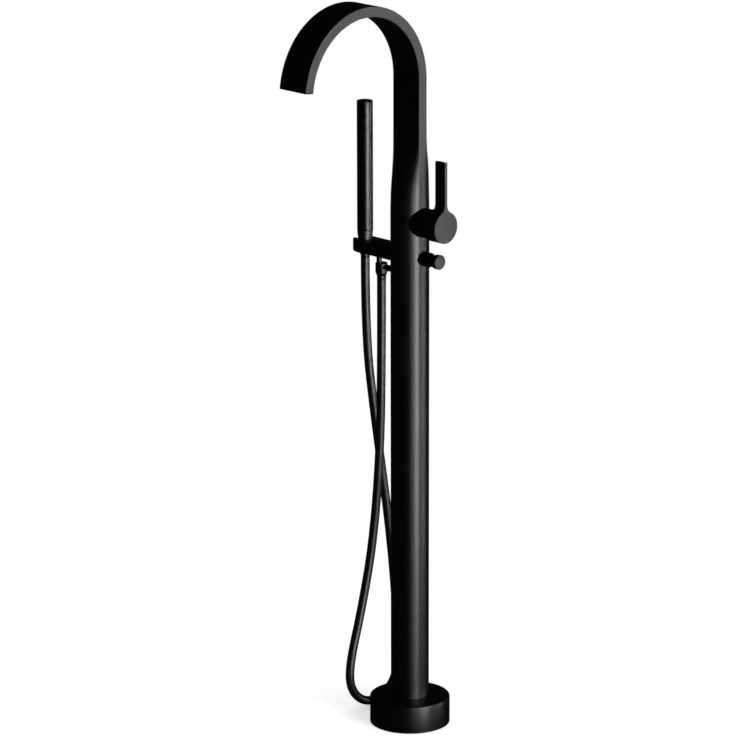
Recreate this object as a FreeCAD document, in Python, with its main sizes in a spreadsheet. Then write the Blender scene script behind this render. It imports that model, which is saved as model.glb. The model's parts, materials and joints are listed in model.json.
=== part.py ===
import FreeCAD, Part
import math
import os
import re
import Sketcher

# Floor standing bath filler: a round column on a floor flange, a flat spout that arches over
# the bath, a lever mixer and a pull diverter on the right (+X), and a stick hand shower in a
# holder on the left (-X) with its hose hanging in a loop beside the base.
# Millimetres. The origin is the centre of the flange's underside on the floor, +Z is up and
# the spout reaches out along -Y.

Vector = FreeCAD.Vector
doc = FreeCAD.newDocument("bath_filler")

# ---------------------------------------------------------------- driving sizes
SIZES = (
    ("running_gap", 0.05, "radial play of a turning or sliding fit"),
    ("body_gap", 0.3, "space between faces of pieces that move apart"),
    ("overrun", 1, "a cutting form beyond the face that it leaves"),
    # base
    ("flange_margin", 12, "flange outside the ring of anchor holes"),
    ("flange_thickness", 10, "floor flange plate"),
    ("collar_wall", 4, "flange collar round the column foot"),
    ("collar_height", 26, "collar above the plate"),
    ("anchor_margin", 10, "ring of anchor holes outside the collar"),
    ("anchor_hole_radius", 4.5, "floor anchor hole"),
    ("mouth_play", 0.5, "flange's mouth round the supply fittings"),
    ("grub_radius", 2.5, "grub screws that hold the column in the collar"),
    ("grub_tip", 1, "grub screw's tip inside the column"),
    ("grub_height", 25, "grub screws above the floor"),
    ("cover_space", 4, "room between flange and cover"),
    ("cover_height", 46, "base cover above the floor"),
    ("cover_wall", 3, "base cover wall"),
    ("cover_round", 3, "base cover's outer edge"),
    ("cover_hub", 4.5, "depth of the cover's hub round the column"),
    ("seal_radius", 1.25, "cross section of the cover's sealing ring"),
    # column and spout
    ("column_radius", 30, "round column"),
    ("column_wall", 1.5, "column wall"),
    ("column_height", 825, "round part of the column above the floor"),
    ("neck_length", 165, "stretch where the round tube flattens into the strip"),
    ("neck_softness", 0.7, "how early the neck's corners tighten"),
    ("neck_flat", 0.1, "least flat stretch on a section of the neck"),
    ("strip_width", 56.6, "flat spout across"),
    ("strip_depth", 16.2, "flat spout through"),
    ("strip_wall", 2, "spout wall"),
    ("strip_round", 0.8, "spout's long edges"),
    ("strip_inner_round", 0.4, "least corner inside the neck"),
    ("strip_straight", 50, "flat strip between the neck and the bend"),
    ("arch_radius", 118.8, "bend radius at the middle of the strip"),
    ("arch_sweep", 174, "degrees of bend"),
    ("waterway_room", 0.65, "inner pipe from the spout's walls"),
    ("pipe_wall", 1, "wall of the inner pipes"),
    ("outlet_angle", 5.5, "degrees of the bend filled by the outlet insert"),
    ("outlet_recess", 0.5, "degrees from the insert's face to the mouth"),
    ("outlet_side", 5, "outlet insert's wall at its short sides"),
    ("outlet_wall", 2.4, "outlet insert's wall at its long sides"),
    # supply
    ("supply_space", 2, "hot and cold fittings from the middle"),
    ("inlet_radius", 12.5, "supply fitting"),
    ("inlet_bore", 9.3, "core radius of the half inch pipe thread"),
    ("inlet_lift", 1, "fitting's mouth above the floor"),
    ("inlet_height", 35, "supply fitting"),
    ("inlet_thread", 16, "depth of thread"),
    ("riser_radius", 6, "riser pipe"),
    ("riser_grip", 12, "length of riser inside a socket"),
    ("nut_radius", 9.5, "compression nut across the corners, halved"),
    ("nut_height", 12, "compression nut"),
    ("clip_share", 0.46, "riser clip's place on the column's height"),
    ("clip_thickness", 8, "riser clip"),
    # valve
    ("valve_radius", 21, "valve body barrel"),
    ("mixer_drop", 8.6, "mixer's axis below the neck"),
    ("diverter_drop", 56.4, "diverter's axis below the mixer's"),
    ("outlet_drop", 29, "hose outlet's axis below the diverter's"),
    ("valve_over", 28, "valve body above the mixer's axis"),
    ("valve_under", 19, "valve body below the outlet's axis"),
    ("valve_ring_height", 6, "plastic ring round the valve body"),
    ("valve_ring_gap", 3, "plastic ring below the mixer boss"),
    ("outlet_boss_wall", 3, "wall of the boss for the outlet stub"),
    ("outlet_boss_gap", 1.5, "outlet boss short of the column's wall"),
    ("boss_wall", 2, "wall of the mixer boss outside the nut's thread"),
    ("mixer_boss_reach", 14, "mixer boss beyond the column's skin"),
    ("diverter_boss", 10, "boss that holds the diverter"),
    ("diverter_boss_reach", 8, "diverter boss beyond the column's skin"),
    ("diverter_wall", 3, "wall of the diverter boss"),
    ("waterway_bore", 4, "drilled ways inside the valve body"),
    ("port_bore", 3, "narrow ways to the cartridge and the hose"),
    ("way_offset", 9, "spout and hose ways from the middle way"),
    ("way_cap", 6, "brass above the spout way"),
    ("diverter_well", 15, "diverter's seat beyond the column's axis"),
    ("stub_grip", 3, "outlet stub inside the valve body"),
    # mixer
    ("cartridge_radius", 17.5, "35 mm cartridge"),
    ("cartridge_length", 27.8, "cartridge from base to shoulder"),
    ("cartridge_seal", 2, "rubber rings under the cartridge"),
    ("seal_wall", 1.5, "rubber ring round a port"),
    ("port_share", 0.85, "ports' place on the supply offset"),
    ("turret_well", 8, "well for the cartridge's turning part"),
    ("stem_well", 16, "well for the stem"),
    ("stem_room", 2, "room round the stem in its well"),
    ("nut_grip", 8, "retaining nut inside its boss"),
    ("sleeve_wall", 1.3, "fixed mixer sleeve"),
    ("sleeve_reach", 17, "fixed sleeve beyond the column's skin"),
    ("sleeve_lip", 1.5, "lip of the sleeve that the nut holds"),
    ("nut_shoulder", 2, "retaining nut outside the cartridge"),
    ("nut_mouth", 10.5, "opening of the retaining nut"),
    ("nut_dome", 6, "retaining nut's dome inside the lever hub"),
    ("nut_dome_rim", 2.5, "dome's narrow end round the mouth"),
    ("turret_radius", 9, "turning part of the cartridge"),
    ("turret_nose", 4, "turning part beyond the pivot"),
    ("turret_room", 3, "turret's slot above and below the stem"),
    ("pivot_depth", 4, "lever pivot inside the end of the mixer boss"),
    ("pin_radius", 1.5, "pivot pin"),
    ("pin_inset", 1, "pin's ends inside the turret's skin"),
    ("stem_radius", 3.5, "cartridge stem"),
    ("stem_grip", 9, "stem inside the lever"),
    ("stem_tail", 8, "stem behind its pivot"),
    ("handle_wall", 1.5, "wall of the lever hub"),
    ("handle_groove", 2, "gap between sleeve and lever hub"),
    ("handle_length", 29, "lever hub from rim to face"),
    ("handle_hollow", 11, "depth of the hub's hollow"),
    ("rim_grip", 2, "rim wall into the lever's solid part"),
    ("blade_width", 20.7, "lever blade along the mixer's axis"),
    ("blade_thickness", 5.3, "lever blade through"),
    ("blade_top", 101.5, "tip of the blade above the mixer axis"),
    ("blade_blend", 16, "radius that blends the blade into the hub"),
    ("handle_round", 0.8, "edges of the lever"),
    ("lever_screw", 2, "grub screw of the lever"),
    ("lever_screw_length", 10, "grub screw of the lever, length"),
    ("lever_screw_place", 5, "grub screw beyond the hub's hollow"),
    # diverter
    ("rosette_wall", 1, "wall of the diverter rosette"),
    ("rosette_face", 2, "rosette's end wall"),
    ("rosette_reach", 15, "rosette beyond the column's skin"),
    ("spindle_radius", 3, "diverter spindle"),
    ("spindle_collar", 5, "collar that the spring pushes on"),
    ("spindle_head", 4, "sealing head at the spindle's inner end"),
    ("spindle_flange", 3, "length of the spring's collar"),
    ("guide_start", 5, "guide's inner end from the column's axis"),
    ("knob_neck_length", 11, "narrow part of the knob"),
    ("knob_head_length", 9, "wide part of the knob"),
    ("knob_neck", 9.4, "radius of the knob's narrow part"),
    ("knob_gap", 1, "knob from the rosette"),
    ("knob_cap", 4, "knob beyond the spindle's end"),
    ("spring_length", 22.4, "return spring at rest"),
    ("spring_turns", 9, "coils"),
    ("spring_wire", 0.45, "radius of the spring wire"),
    ("spring_stop", 4, "guide's wall outside the spring"),
    ("coil_play", 0.15, "coil outside the middle of its well"),
    # hand shower holder
    ("arm_reach", 98.5, "hand shower axis from the column's axis"),
    ("arm_radius", 19, "half width of the arm and its round end"),
    ("arm_height", 20, "arm from top to bottom"),
    ("arm_round", 2.5, "edges of the arm"),
    ("liner_wall", 1.5, "plastic liner of the seat"),
    ("slot_play", 0.8, "room each side of the hose in the arm's slot"),
    ("arm_bolt", 3, "bolt from inside the column"),
    ("arm_bolt_reach", 22, "bolt inside the arm"),
    ("bolt_head", 4, "bolt's head"),
    ("bolt_head_wall", 2, "bolt's head outside its shank"),
    ("bolt_seat", 0.5, "flat head against the round wall"),
    ("post_radius", 4.2, "post between arm and elbow"),
    ("post_reach", 67.5, "post from the column's axis"),
    # hose outlet
    ("outlet_reach", 62.5, "hose outlet axis from the column's axis"),
    ("stub_radius", 5, "pipe from the valve to the elbow"),
    ("stub_socket", 5, "stub inside the elbow"),
    ("elbow_radius", 9.5, "outlet elbow"),
    ("elbow_height", 12, "outlet elbow, half of it below the stub's axis"),
    ("elbow_wall", 1, "wall of the elbow's threaded end"),
    ("outlet_nut_height", 8, "conical nut under the elbow"),
    ("nut_floor", 2, "outlet nut's floor"),
    ("nut_cone", 5, "conical part of the outlet nut"),
    # hose
    ("hose_radius", 7, "shower hose"),
    ("ferrule_wall", 0.2, "pressed sleeves outside the hose"),
    ("ferrule_length", 6, "visible length of a sleeve"),
    ("ferrule_step", 1.25, "sleeve outside its tail in the nut"),
    ("ferrule_flange", 1, "flange at the end of the tail"),
    # hand shower
    ("handset_radius", 12.5, "stick hand shower"),
    ("handset_wall", 1.5, "hand shower tube wall"),
    ("chamber_wall", 1.5, "wall of the inner chamber"),
    ("chamber_inset", 2, "chamber's opening inside the window"),
    ("handset_lift", 14, "hand shower's seam above the arm"),
    ("handset_length", 204, "hand shower above the seam"),
    ("cap_lip", 2, "visible rim of the top cap"),
    ("cap_plug", 6, "depth of the cap's plug"),
    ("cone_taper", 0.0893, "radius that the nut loses for each mm down"),
    ("cone_length", 38, "conical hose nut"),
    ("nut_depth", 3, "room under the inlet inside the conical nut"),
    ("washer_bore", 3, "hole of the washer and of the inlet"),
    ("washer_thickness", 1.5, "sealing washer"),
    ("spigot_radius", 10.2, "threaded inlet of the hand shower"),
    ("spigot_length", 11.7, "inlet below the seam"),
    ("spigot_plug", 6, "inlet inside the hand shower"),
    ("spigot_wall", 5.2, "wall of the inlet round the check valve"),
    ("check_ledge", 2, "check valve's seat above the seam"),
    ("check_inset", 2, "check valve inside the inlet's mouth"),
    ("check_length", 9, "check valve"),
    ("check_bore", 1.5, "hole of the check valve"),
    ("window_width", 14, "opening for the spray plate"),
    ("window_drop", 13, "spray plate below the top of the hand shower"),
    ("window_height", 95, "length of the spray plate"),
    ("nozzle_radius", 0.8, "spray nozzle"),
    ("nozzle_height", 0.4, "nozzle above the hand shower's skin"),
    ("nozzle_rows", 11, "nozzles along the plate"),
    ("nozzle_angle", 20, "degrees between the three lines of nozzles"),
)

# Places worked out from the driving sizes.
PLACES = (
    ("neck_top", "column_height + neck_length", "where the neck has become the flat strip"),
    ("arch_centre", "neck_top + strip_straight", "height of the centre of the spout's bend"),
    ("mixer_height", "column_height - mixer_drop", "mixer's axis above the floor"),
    ("diverter_height", "mixer_height - diverter_drop", "diverter's axis above the floor"),
    ("outlet_height", "diverter_height - outlet_drop", "hose outlet's axis above the floor"),
    ("valve_top", "mixer_height + valve_over", "top of the valve body"),
    ("valve_bottom", "outlet_height - valve_under", "underside of the valve body"),
    ("inlet_top", "inlet_lift + inlet_height", "top of the supply fittings"),
    ("waterway_radius", "strip_depth / 2 - strip_wall - waterway_room", "pipe inside the spout"),
    ("column_bore", "column_radius - column_wall", "inside of the column"),
    ("collar_radius", "column_radius + collar_wall", "collar of the flange"),
    ("anchor_circle", "collar_radius + anchor_margin", "radius of the ring of anchor holes"),
    ("flange_radius", "anchor_circle + flange_margin", "floor flange"),
    ("cover_radius", "flange_radius + cover_space + cover_wall", "base cover"),
    ("supply_offset", "inlet_radius + supply_space", "hot and cold supply from the middle"),
    ("flange_mouth", "supply_offset + inlet_radius + mouth_play", "hole in the flange"),
    ("nut_thread", "cartridge_radius + nut_shoulder", "thread of the retaining nut"),
    ("mixer_boss", "nut_thread + boss_wall", "boss that holds the cartridge"),
    ("sleeve_radius", "mixer_boss + body_gap + sleeve_wall", "fixed mixer sleeve"),
    ("handle_radius", "sleeve_radius + handle_wall", "lever hub"),
    ("diverter_bore", "diverter_boss - diverter_wall", "bore of the diverter boss"),
    ("rosette_radius", "diverter_boss + body_gap + rosette_wall", "diverter rosette and knob"),
    ("slot_width", "2 * (hose_radius + slot_play)", "slot that lets the hose in"),
    ("ferrule_radius", "hose_radius + ferrule_wall", "pressed sleeves on the hose's ends"),
    ("tail_radius", "ferrule_radius - ferrule_step", "ferrule's tail inside the nut"),
    ("check_radius", "spigot_radius - spigot_wall", "check valve"),
    ("chamber_radius", "handset_radius - handset_wall - body_gap", "inner water chamber"),
    ("boss_end", "column_radius + mixer_boss_reach", "end of the mixer boss"),
    ("saddle_start", "column_radius / 3", "start of a piece before the column is cut from it"),
    ("cartridge_end", "boss_end - nut_grip", "shoulder under the retaining nut"),
    ("cartridge_start", "cartridge_end - cartridge_length", "base of the cartridge"),
    ("seal_start", "cartridge_start - cartridge_seal", "floor of the cartridge's seat"),
    ("pivot", "boss_end - pivot_depth", "lever pivot from the column's axis"),
    ("sleeve_end", "column_radius + sleeve_reach", "outer end of the fixed sleeve"),
    ("handle_start", "sleeve_end + handle_groove", "inner rim of the lever hub"),
    ("handle_end", "handle_start + handle_length", "face of the lever hub"),
    ("handle_floor", "handle_start + handle_hollow", "floor of the hub's hollow"),
    ("blade_start", "handle_end - blade_width", "inner edge of the lever blade"),
    ("diverter_boss_end", "column_radius + diverter_boss_reach", "end of the diverter boss"),
    ("rosette_end", "column_radius + rosette_reach", "outer end of the rosette"),
    ("spring_end", "diverter_boss_end - spring_stop", "outer end of the return spring"),
    ("spring_start", "spring_end - spring_length", "inner end of the return spring"),
    ("knob_start", "rosette_end + knob_gap", "inner end of the knob"),
    ("knob_step", "knob_start + knob_neck_length", "where the knob widens"),
    ("knob_end", "knob_step + knob_head_length", "face of the knob"),
    ("arm_bottom", "diverter_height - arm_height / 2", "underside of the arm"),
    ("arm_top", "arm_bottom + arm_height", "top of the arm"),
    ("elbow_bottom", "outlet_height - elbow_height / 2", "joint between elbow and hose nut"),
    ("elbow_top", "elbow_bottom + elbow_height", "top of the elbow"),
    ("handset_bottom", "arm_top + handset_lift", "seam between hand shower and hose nut"),
    ("nut_top", "handset_bottom - body_gap", "upper end of the conical hose nut"),
    ("nut_bottom", "nut_top - cone_length", "lower end of the conical hose nut"),
    ("nut_ledge", "nut_top - spigot_length - nut_depth", "ledge inside the conical hose nut"),
    ("spigot_bottom", "handset_bottom - spigot_length", "lower end of the hand shower's inlet"),
    ("handset_top", "handset_bottom + handset_length", "top of the hand shower"),
    ("window_bottom", "handset_top - window_drop - window_height", "lower end of the spray plate"),
)

sizes = doc.addObject("Spreadsheet::Sheet", "Sizes")
places = doc.addObject("Spreadsheet::Sheet", "Places")
size_names = {alias for alias, number, meaning in SIZES}
place_names = {alias for alias, text, meaning in PLACES}


def formula(text):
    """The text with every size's and place's name pointing at its cell."""
    def cell(word):
        name = word.group()
        if name in size_names:
            return "Sizes." + name
        return "Places." + name if name in place_names else name
    return re.sub(r"[a-z_]+", cell, str(text))


for row, (alias, number, meaning) in enumerate(SIZES, start=1):
    sizes.set(f"A{row}", meaning)
    sizes.set(f"B{row}", str(number))
    sizes.setAlias(f"B{row}", alias)
doc.recompute()
for row, (alias, text, meaning) in enumerate(PLACES, start=1):
    places.set(f"A{row}", meaning)
    places.set(f"B{row}", "=" + formula(text).replace("Places.", ""))
    places.setAlias(f"B{row}", alias)
doc.recompute()
size = {alias: float(sizes.get(alias)) for alias in size_names}
size.update({alias: float(places.get(alias)) for alias in place_names})


# ---------------------------------------------------------------- ways of building
TURNS = {
    "up": FreeCAD.Rotation(),
    "down": FreeCAD.Rotation(Vector(1, 0, 0), 180),
    "right": FreeCAD.Rotation(Vector(0, 1, 0), 90),
    "left": FreeCAD.Rotation(Vector(0, 1, 0), -90),
    "back": FreeCAD.Rotation(Vector(1, 0, 0), -90),
}


def locate(piece, x=0, y=0, z=0, points="up"):
    """Puts a piece's own origin at a place and turns its own Z axis that way."""
    piece.Placement = FreeCAD.Placement(Vector(), TURNS[points])
    for axis, text in zip("xyz", (x, y, z)):
        piece.setExpression("Placement.Base." + axis, formula(text))
    return piece


def bind(piece, **formulas):
    for name, text in formulas.items():
        piece.setExpression(name, formula(text))
    return piece


def cylinder(label, radius, height, **place):
    piece = doc.addObject("Part::Cylinder", label)
    bind(piece, Radius=radius, Height=height)
    return locate(piece, **place)


def box(label, length, width, height, x, y, z):
    """A box by its sizes along X, Y and Z and its low corner."""
    piece = doc.addObject("Part::Box", label)
    bind(piece, Length=length, Width=width, Height=height)
    return locate(piece, x, y, z)


def hexagon(label, radius, height, **place):
    piece = doc.addObject("Part::Prism", label)
    piece.Polygon = 6
    bind(piece, Circumradius=radius, Height=height)
    return locate(piece, **place)


def joined(label, pieces):
    piece = doc.addObject("Part::MultiFuse", label)
    piece.Shapes = pieces
    return piece


def group(label, pieces):
    """Separate solids that share one node."""
    piece = doc.addObject("Part::Compound", label)
    piece.Links = pieces
    return piece


def cut(label, base, tools):
    piece = doc.addObject("Part::Cut", label)
    piece.Base = base
    piece.Tool = tools[0] if len(tools) == 1 else joined(label + "_tools", tools)
    return piece


def common(label, base, tool):
    piece = doc.addObject("Part::Common", label)
    piece.Base = base
    piece.Tool = tool
    return piece


def origin_plane(body, role):
    return next(item for item in body.Origin.OriginFeatures if item.Role == role)


def sketch_on(body, role, name):
    sketch = body.newObject("Sketcher::SketchObject", name)
    sketch.AttachmentSupport = [(origin_plane(body, role), "")]
    sketch.MapMode = "FlatFace"
    return sketch


def pin_point(sketch, line, end, x, y):
    """Ties one end of a sketch line to the sketch's origin by two formulas."""
    for kind, text in (("DistanceX", x), ("DistanceY", y)):
        index = sketch.addConstraint(Sketcher.Constraint(kind, -1, 1, line, end, 1.0))
        sketch.setExpression(f"Constraints[{index}]", formula(text))


def polygon(sketch, corners):
    """A closed outline through corners that are each a pair of formulas."""
    first = sketch.GeometryCount
    count = len(corners)
    for step in range(count):
        start = Vector(math.cos(step), math.sin(step), 0)
        end = Vector(math.cos(step + 1), math.sin(step + 1), 0)
        sketch.addGeometry(Part.LineSegment(start, end), False)
    for step, (x, y) in enumerate(corners):
        after = first + (step + 1) % count
        sketch.addConstraint(Sketcher.Constraint("Coincident", first + step, 2, after, 1))
        pin_point(sketch, first + step, 1, x, y)


def turned(label, corners, **place):
    """A piece turned about its own Z axis from (radius, height) corners."""
    body = doc.addObject("PartDesign::Body", label)
    sketch = sketch_on(body, "XZ_Plane", label + "_outline")
    polygon(sketch, corners)
    turn = body.newObject("PartDesign::Revolution", label + "_turn")
    turn.Profile = sketch
    turn.ReferenceAxis = (sketch, ["V_Axis"])
    turn.Angle = 360
    return locate(body, **place)


def rounded(body, radius, chosen):
    """Rounds the edges that the test picks out."""
    doc.recompute()
    base = body.Tip
    edges = enumerate(base.Shape.Edges, start=1)
    names = [f"Edge{number}" for number, edge in edges if chosen(edge)]
    fillet = body.newObject("PartDesign::Fillet", body.Name + "_round")
    fillet.Base = (base, names)
    bind(fillet, Radius=radius)
    return body


SAME_PLACE = 0.01


def rim(radius, height):
    """Picks the circular edges of one radius at one height on a turned piece."""
    def chosen(edge):
        circle = isinstance(edge.Curve, Part.Circle)
        return (circle and abs(edge.Curve.Radius - radius) < SAME_PLACE
                and abs(edge.Curve.Center.z - height) < SAME_PLACE)
    return chosen


def column_void(label):
    """The space that the round column takes, for pieces that sit against it."""
    return cylinder(label, "column_radius", "column_height")


pieces = []


def keep(*made):
    pieces.extend(made)


# ---------------------------------------------------------------- base
def floor_flange():
    plate = turned("flange_blank", (
        ("flange_mouth", "0"),
        ("flange_radius", "0"),
        ("flange_radius", "flange_thickness"),
        ("collar_radius", "flange_thickness"),
        ("collar_radius", "flange_thickness + collar_height"),
        ("column_radius + running_gap", "flange_thickness + collar_height"),
        ("column_radius + running_gap", "flange_thickness"),
        ("flange_mouth", "flange_thickness"),
    ))
    holes = []
    for index in range(4):
        angle = 45 + 90 * index
        holes.append(cylinder(
            f"anchor_hole_{index}", "anchor_hole_radius", "flange_thickness + 2 * overrun",
            x=f"anchor_circle * cos({angle} deg)", y=f"anchor_circle * sin({angle} deg)", z="-overrun"))
    holes += radial_pins("flange_grub_hole", "collar_radius + overrun")
    return cut("floor_flange", plate, holes)


def radial_pins(label, reach, start=0):
    """Three cylinders that point outwards at the height of the grub screws."""
    made = []
    for index in range(3):
        angle = 90 + 120 * index
        pin = cylinder(f"{label}_{index}", "grub_radius", f"{reach} - ({start})")
        turn = FreeCAD.Rotation(Vector(0, 0, 1), angle) * TURNS["right"]
        pin.Placement = FreeCAD.Placement(Vector(), turn)
        pin.setExpression("Placement.Base.x", formula(f"({start}) * cos({angle} deg)"))
        pin.setExpression("Placement.Base.y", formula(f"({start}) * sin({angle} deg)"))
        pin.setExpression("Placement.Base.z", formula("grub_height"))
        made.append(pin)
    return made


def column_screws():
    start = "column_bore - grub_tip"
    return group("column_screws", radial_pins("column_screw", "collar_radius", start))


def base_cover():
    inner = "column_radius + body_gap + running_gap"
    groove = "column_radius + running_gap + 2 * seal_radius"
    groove_low = "cover_height - cover_hub / 2 - seal_radius"
    groove_high = "cover_height - cover_hub / 2 + seal_radius"
    body = turned("base_cover", (
        ("cover_radius", "body_gap"),
        ("cover_radius", "cover_height"),
        (inner, "cover_height"),
        (inner, groove_high),
        (groove, groove_high),
        (groove, groove_low),
        (inner, groove_low),
        (inner, "cover_height - cover_hub"),
        ("column_radius + 2 * cover_wall", "cover_height - cover_hub"),
        ("column_radius + 2 * cover_wall", "cover_height - cover_wall"),
        ("cover_radius - cover_wall", "cover_height - cover_wall"),
        ("cover_radius - cover_wall", "body_gap"),
    ))
    return rounded(body, "cover_round", rim(size["cover_radius"], size["cover_height"]))


def cover_seal():
    ring = doc.addObject("Part::Torus", "cover_seal")
    bind(ring, Radius1="column_radius + running_gap + seal_radius", Radius2="seal_radius")
    return locate(ring, z="cover_height - cover_hub / 2")


keep(floor_flange(), column_screws(), base_cover(), cover_seal())


# ---------------------------------------------------------------- column and spout
def column_tube():
    inner = "column_bore"
    tube = turned("column_blank", (
        (inner, "flange_thickness"),
        ("column_radius", "flange_thickness"),
        ("column_radius", "column_height"),
        (inner, "column_height"),
    ))
    reach = "column_radius + overrun"
    return cut("column_tube", tube, [
        mixer_hole("column_mixer_hole"),
        cylinder("column_diverter_hole", "diverter_boss + body_gap", reach,
                 z="diverter_height", points="right"),
        cylinder("column_outlet_hole", "stub_radius + body_gap", reach,
                 z="outlet_height", points="left"),
        cylinder("column_arm_hole", "arm_bolt + running_gap", reach,
                 z="diverter_height", points="left"),
    ] + radial_pins("column_grub_hole", reach))


def section(height, half_width, half_depth, corner):
    """A closed wire at a height: a rectangle with round corners, as four lines and four arcs."""
    wide = half_width - corner
    deep = half_depth - corner
    edges = []
    corners = ((wide, deep, 0), (-wide, deep, 90), (-wide, -deep, 180), (wide, -deep, 270))
    for index, (x, y, start) in enumerate(corners):
        def rim_point(angle):
            turn = math.radians(angle)
            return Vector(x + corner * math.cos(turn), y + corner * math.sin(turn), height)
        edges.append(Part.Arc(rim_point(start), rim_point(start + 45), rim_point(start + 90)).toShape())
        after = corners[(index + 1) % 4]
        turn = math.radians(start + 90)
        onward = Vector(after[0] + corner * math.cos(turn), after[1] + corner * math.sin(turn), height)
        edges.append(Part.LineSegment(rim_point(start + 90), onward).toShape())
    return Part.Wire(edges)


NECK_STEPS = 6


def neck_form(label, column_inset=0, strip_inset=0, overrun=0):
    """The neck's form drawn in by a wall: round at the bottom, a flat strip at the top."""
    length = size["neck_top"] - size["column_height"]
    round_radius = size["column_radius"] - column_inset
    strip_x = size["strip_width"] / 2 - strip_inset
    strip_y = size["strip_depth"] / 2 - strip_inset
    strip_corner = max(size["strip_round"] - strip_inset, size["strip_inner_round"])
    wires = []
    for step in range(NECK_STEPS + 1):
        part = step / NECK_STEPS
        ease = part * part * (3 - 2 * part)
        half_width = round_radius + (strip_x - round_radius) * ease
        half_depth = round_radius + (strip_y - round_radius) * ease
        corner = half_depth - (strip_y - strip_corner) * ease ** size["neck_softness"]
        corner = min(corner, half_depth - size["neck_flat"])
        height = size["column_height"] + length * part
        wires.append(section(height, half_width, half_depth, corner))
    solid = Part.makeLoft(wires, True)
    if overrun:
        low = Part.Face(wires[0]).extrude(Vector(0, 0, -overrun))
        high = Part.Face(wires[-1]).extrude(Vector(0, 0, overrun))
        solid = solid.fuse([low, high])
    form = doc.addObject("Part::Feature", label)
    form.Shape = solid
    form.Placement = FreeCAD.Placement()
    return form


def mixer_hole(label):
    """The hole in the column's wall that the valve's mixer boss passes through."""
    return cylinder(label, "mixer_boss + body_gap", "column_radius + overrun",
                    z="mixer_height", points="right")


def column_neck():
    bore = neck_form("neck_bore", size["column_wall"], size["strip_wall"], size["overrun"])
    return cut("column_neck", neck_form("neck_blank"), [bore, mixer_hole("neck_mixer_hole")])


def strip_outline(sketch, half_x, half_y, corner, guess):
    """A rectangle with round corners in a sketch, centred on the sketch's origin."""
    first = sketch.GeometryCount
    gx, gy, gr = guess
    ways = ((gx - gr, gy - gr, 0), (gr - gx, gy - gr, 90),
            (gr - gx, gr - gy, 180), (gx - gr, gr - gy, 270))
    for index, (x, y, start) in enumerate(ways):
        circle = Part.Circle(Vector(x, y, 0), Vector(0, 0, 1), gr)
        arc = Part.ArcOfCircle(circle, math.radians(start), math.radians(start + 90))
        sketch.addGeometry(arc, False)
    for index in range(4):
        one = sketch.Geometry[first + index].EndPoint
        two = sketch.Geometry[first + (index + 1) % 4].StartPoint
        sketch.addGeometry(Part.LineSegment(one, two), False)
    for index in range(4):
        line = first + 4 + index
        sketch.addConstraint(Sketcher.Constraint("Tangent", first + index, 2, line, 1))
        sketch.addConstraint(Sketcher.Constraint("Tangent", line, 2, first + (index + 1) % 4, 1))
    for index in range(1, 4):
        sketch.addConstraint(Sketcher.Constraint("Equal", first, first + index))
    sketch.addConstraint(Sketcher.Constraint("Horizontal", first + 4))
    sketch.addConstraint(Sketcher.Constraint("Vertical", first + 5))
    limits = (
        (Sketcher.Constraint("Radius", first, gr), corner),
        (Sketcher.Constraint("DistanceX", -1, 1, first, 1, gx), half_x),
        (Sketcher.Constraint("DistanceY", -1, 1, first, 2, gy), half_y),
        (Sketcher.Constraint("DistanceX", first + 1, 2, -1, 1, gx), half_x),
        (Sketcher.Constraint("DistanceY", first + 2, 2, -1, 1, gy), half_y),
    )
    for limit, text in limits:
        index = sketch.addConstraint(limit)
        sketch.setExpression(f"Constraints[{index}]", formula(text))


def bend_axis(sketch):
    """A construction line through the centre of the spout's bend."""
    line = sketch.addGeometry(Part.LineSegment(Vector(-1, -1, 0), Vector(1, -1, 0)), True)
    pin_point(sketch, line, 1, "-strip_width", "-arch_radius")
    pin_point(sketch, line, 2, "strip_width", "-arch_radius")


def along_bend(label, draw, sweep, drop=None):
    """A section drawn at the foot of the spout's bend, carried round it and down below it."""
    body = doc.addObject("PartDesign::Body", label)
    sketch = sketch_on(body, "XY_Plane", label + "_section")
    draw(sketch)
    bend_axis(sketch)
    turn = body.newObject("PartDesign::Revolution", label + "_bend")
    turn.Profile = sketch
    turn.ReferenceAxis = (sketch, ["Axis0"])
    bind(turn, Angle=sweep)
    if drop:
        straight = body.newObject("PartDesign::Pad", label + "_straight")
        straight.Profile = sketch
        straight.Reversed = True
        bind(straight, Length=drop)
    return locate(body, z="arch_centre")


def ring_section(sketch, outer, inner):
    for radius in (outer, inner):
        circle = Part.Circle(Vector(), Vector(0, 0, 1), 2 + sketch.GeometryCount)
        index = sketch.addGeometry(circle, False)
        sketch.addConstraint(Sketcher.Constraint("Coincident", -1, 1, index, 3))
        limit = sketch.addConstraint(Sketcher.Constraint("Radius", index, 2.0))
        sketch.setExpression(f"Constraints[{limit}]", formula(radius))


def spout_arch():
    def draw(sketch):
        outer = (size["strip_width"] / 2, size["strip_depth"] / 2, size["strip_round"])
        strip_outline(sketch, "strip_width / 2", "strip_depth / 2", "strip_round", outer)
        half_x = "(strip_width / 2 - strip_wall)"
        half_y = "(strip_depth / 2 - strip_wall)"
        polygon(sketch, ((half_x, half_y), (half_x, "-" + half_y),
                         ("-" + half_x, "-" + half_y), ("-" + half_x, half_y)))
    return along_bend("spout_arch", draw, "arch_sweep", "arch_centre - neck_top")


def spout_waterway():
    def draw(sketch):
        ring_section(sketch, "waterway_radius", "waterway_radius - pipe_wall")
    sweep = "arch_sweep - outlet_angle - outlet_recess - body_gap / arch_radius * 180 / pi"
    return along_bend("spout_waterway", draw, sweep, "arch_centre - valve_top + riser_grip")


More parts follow.
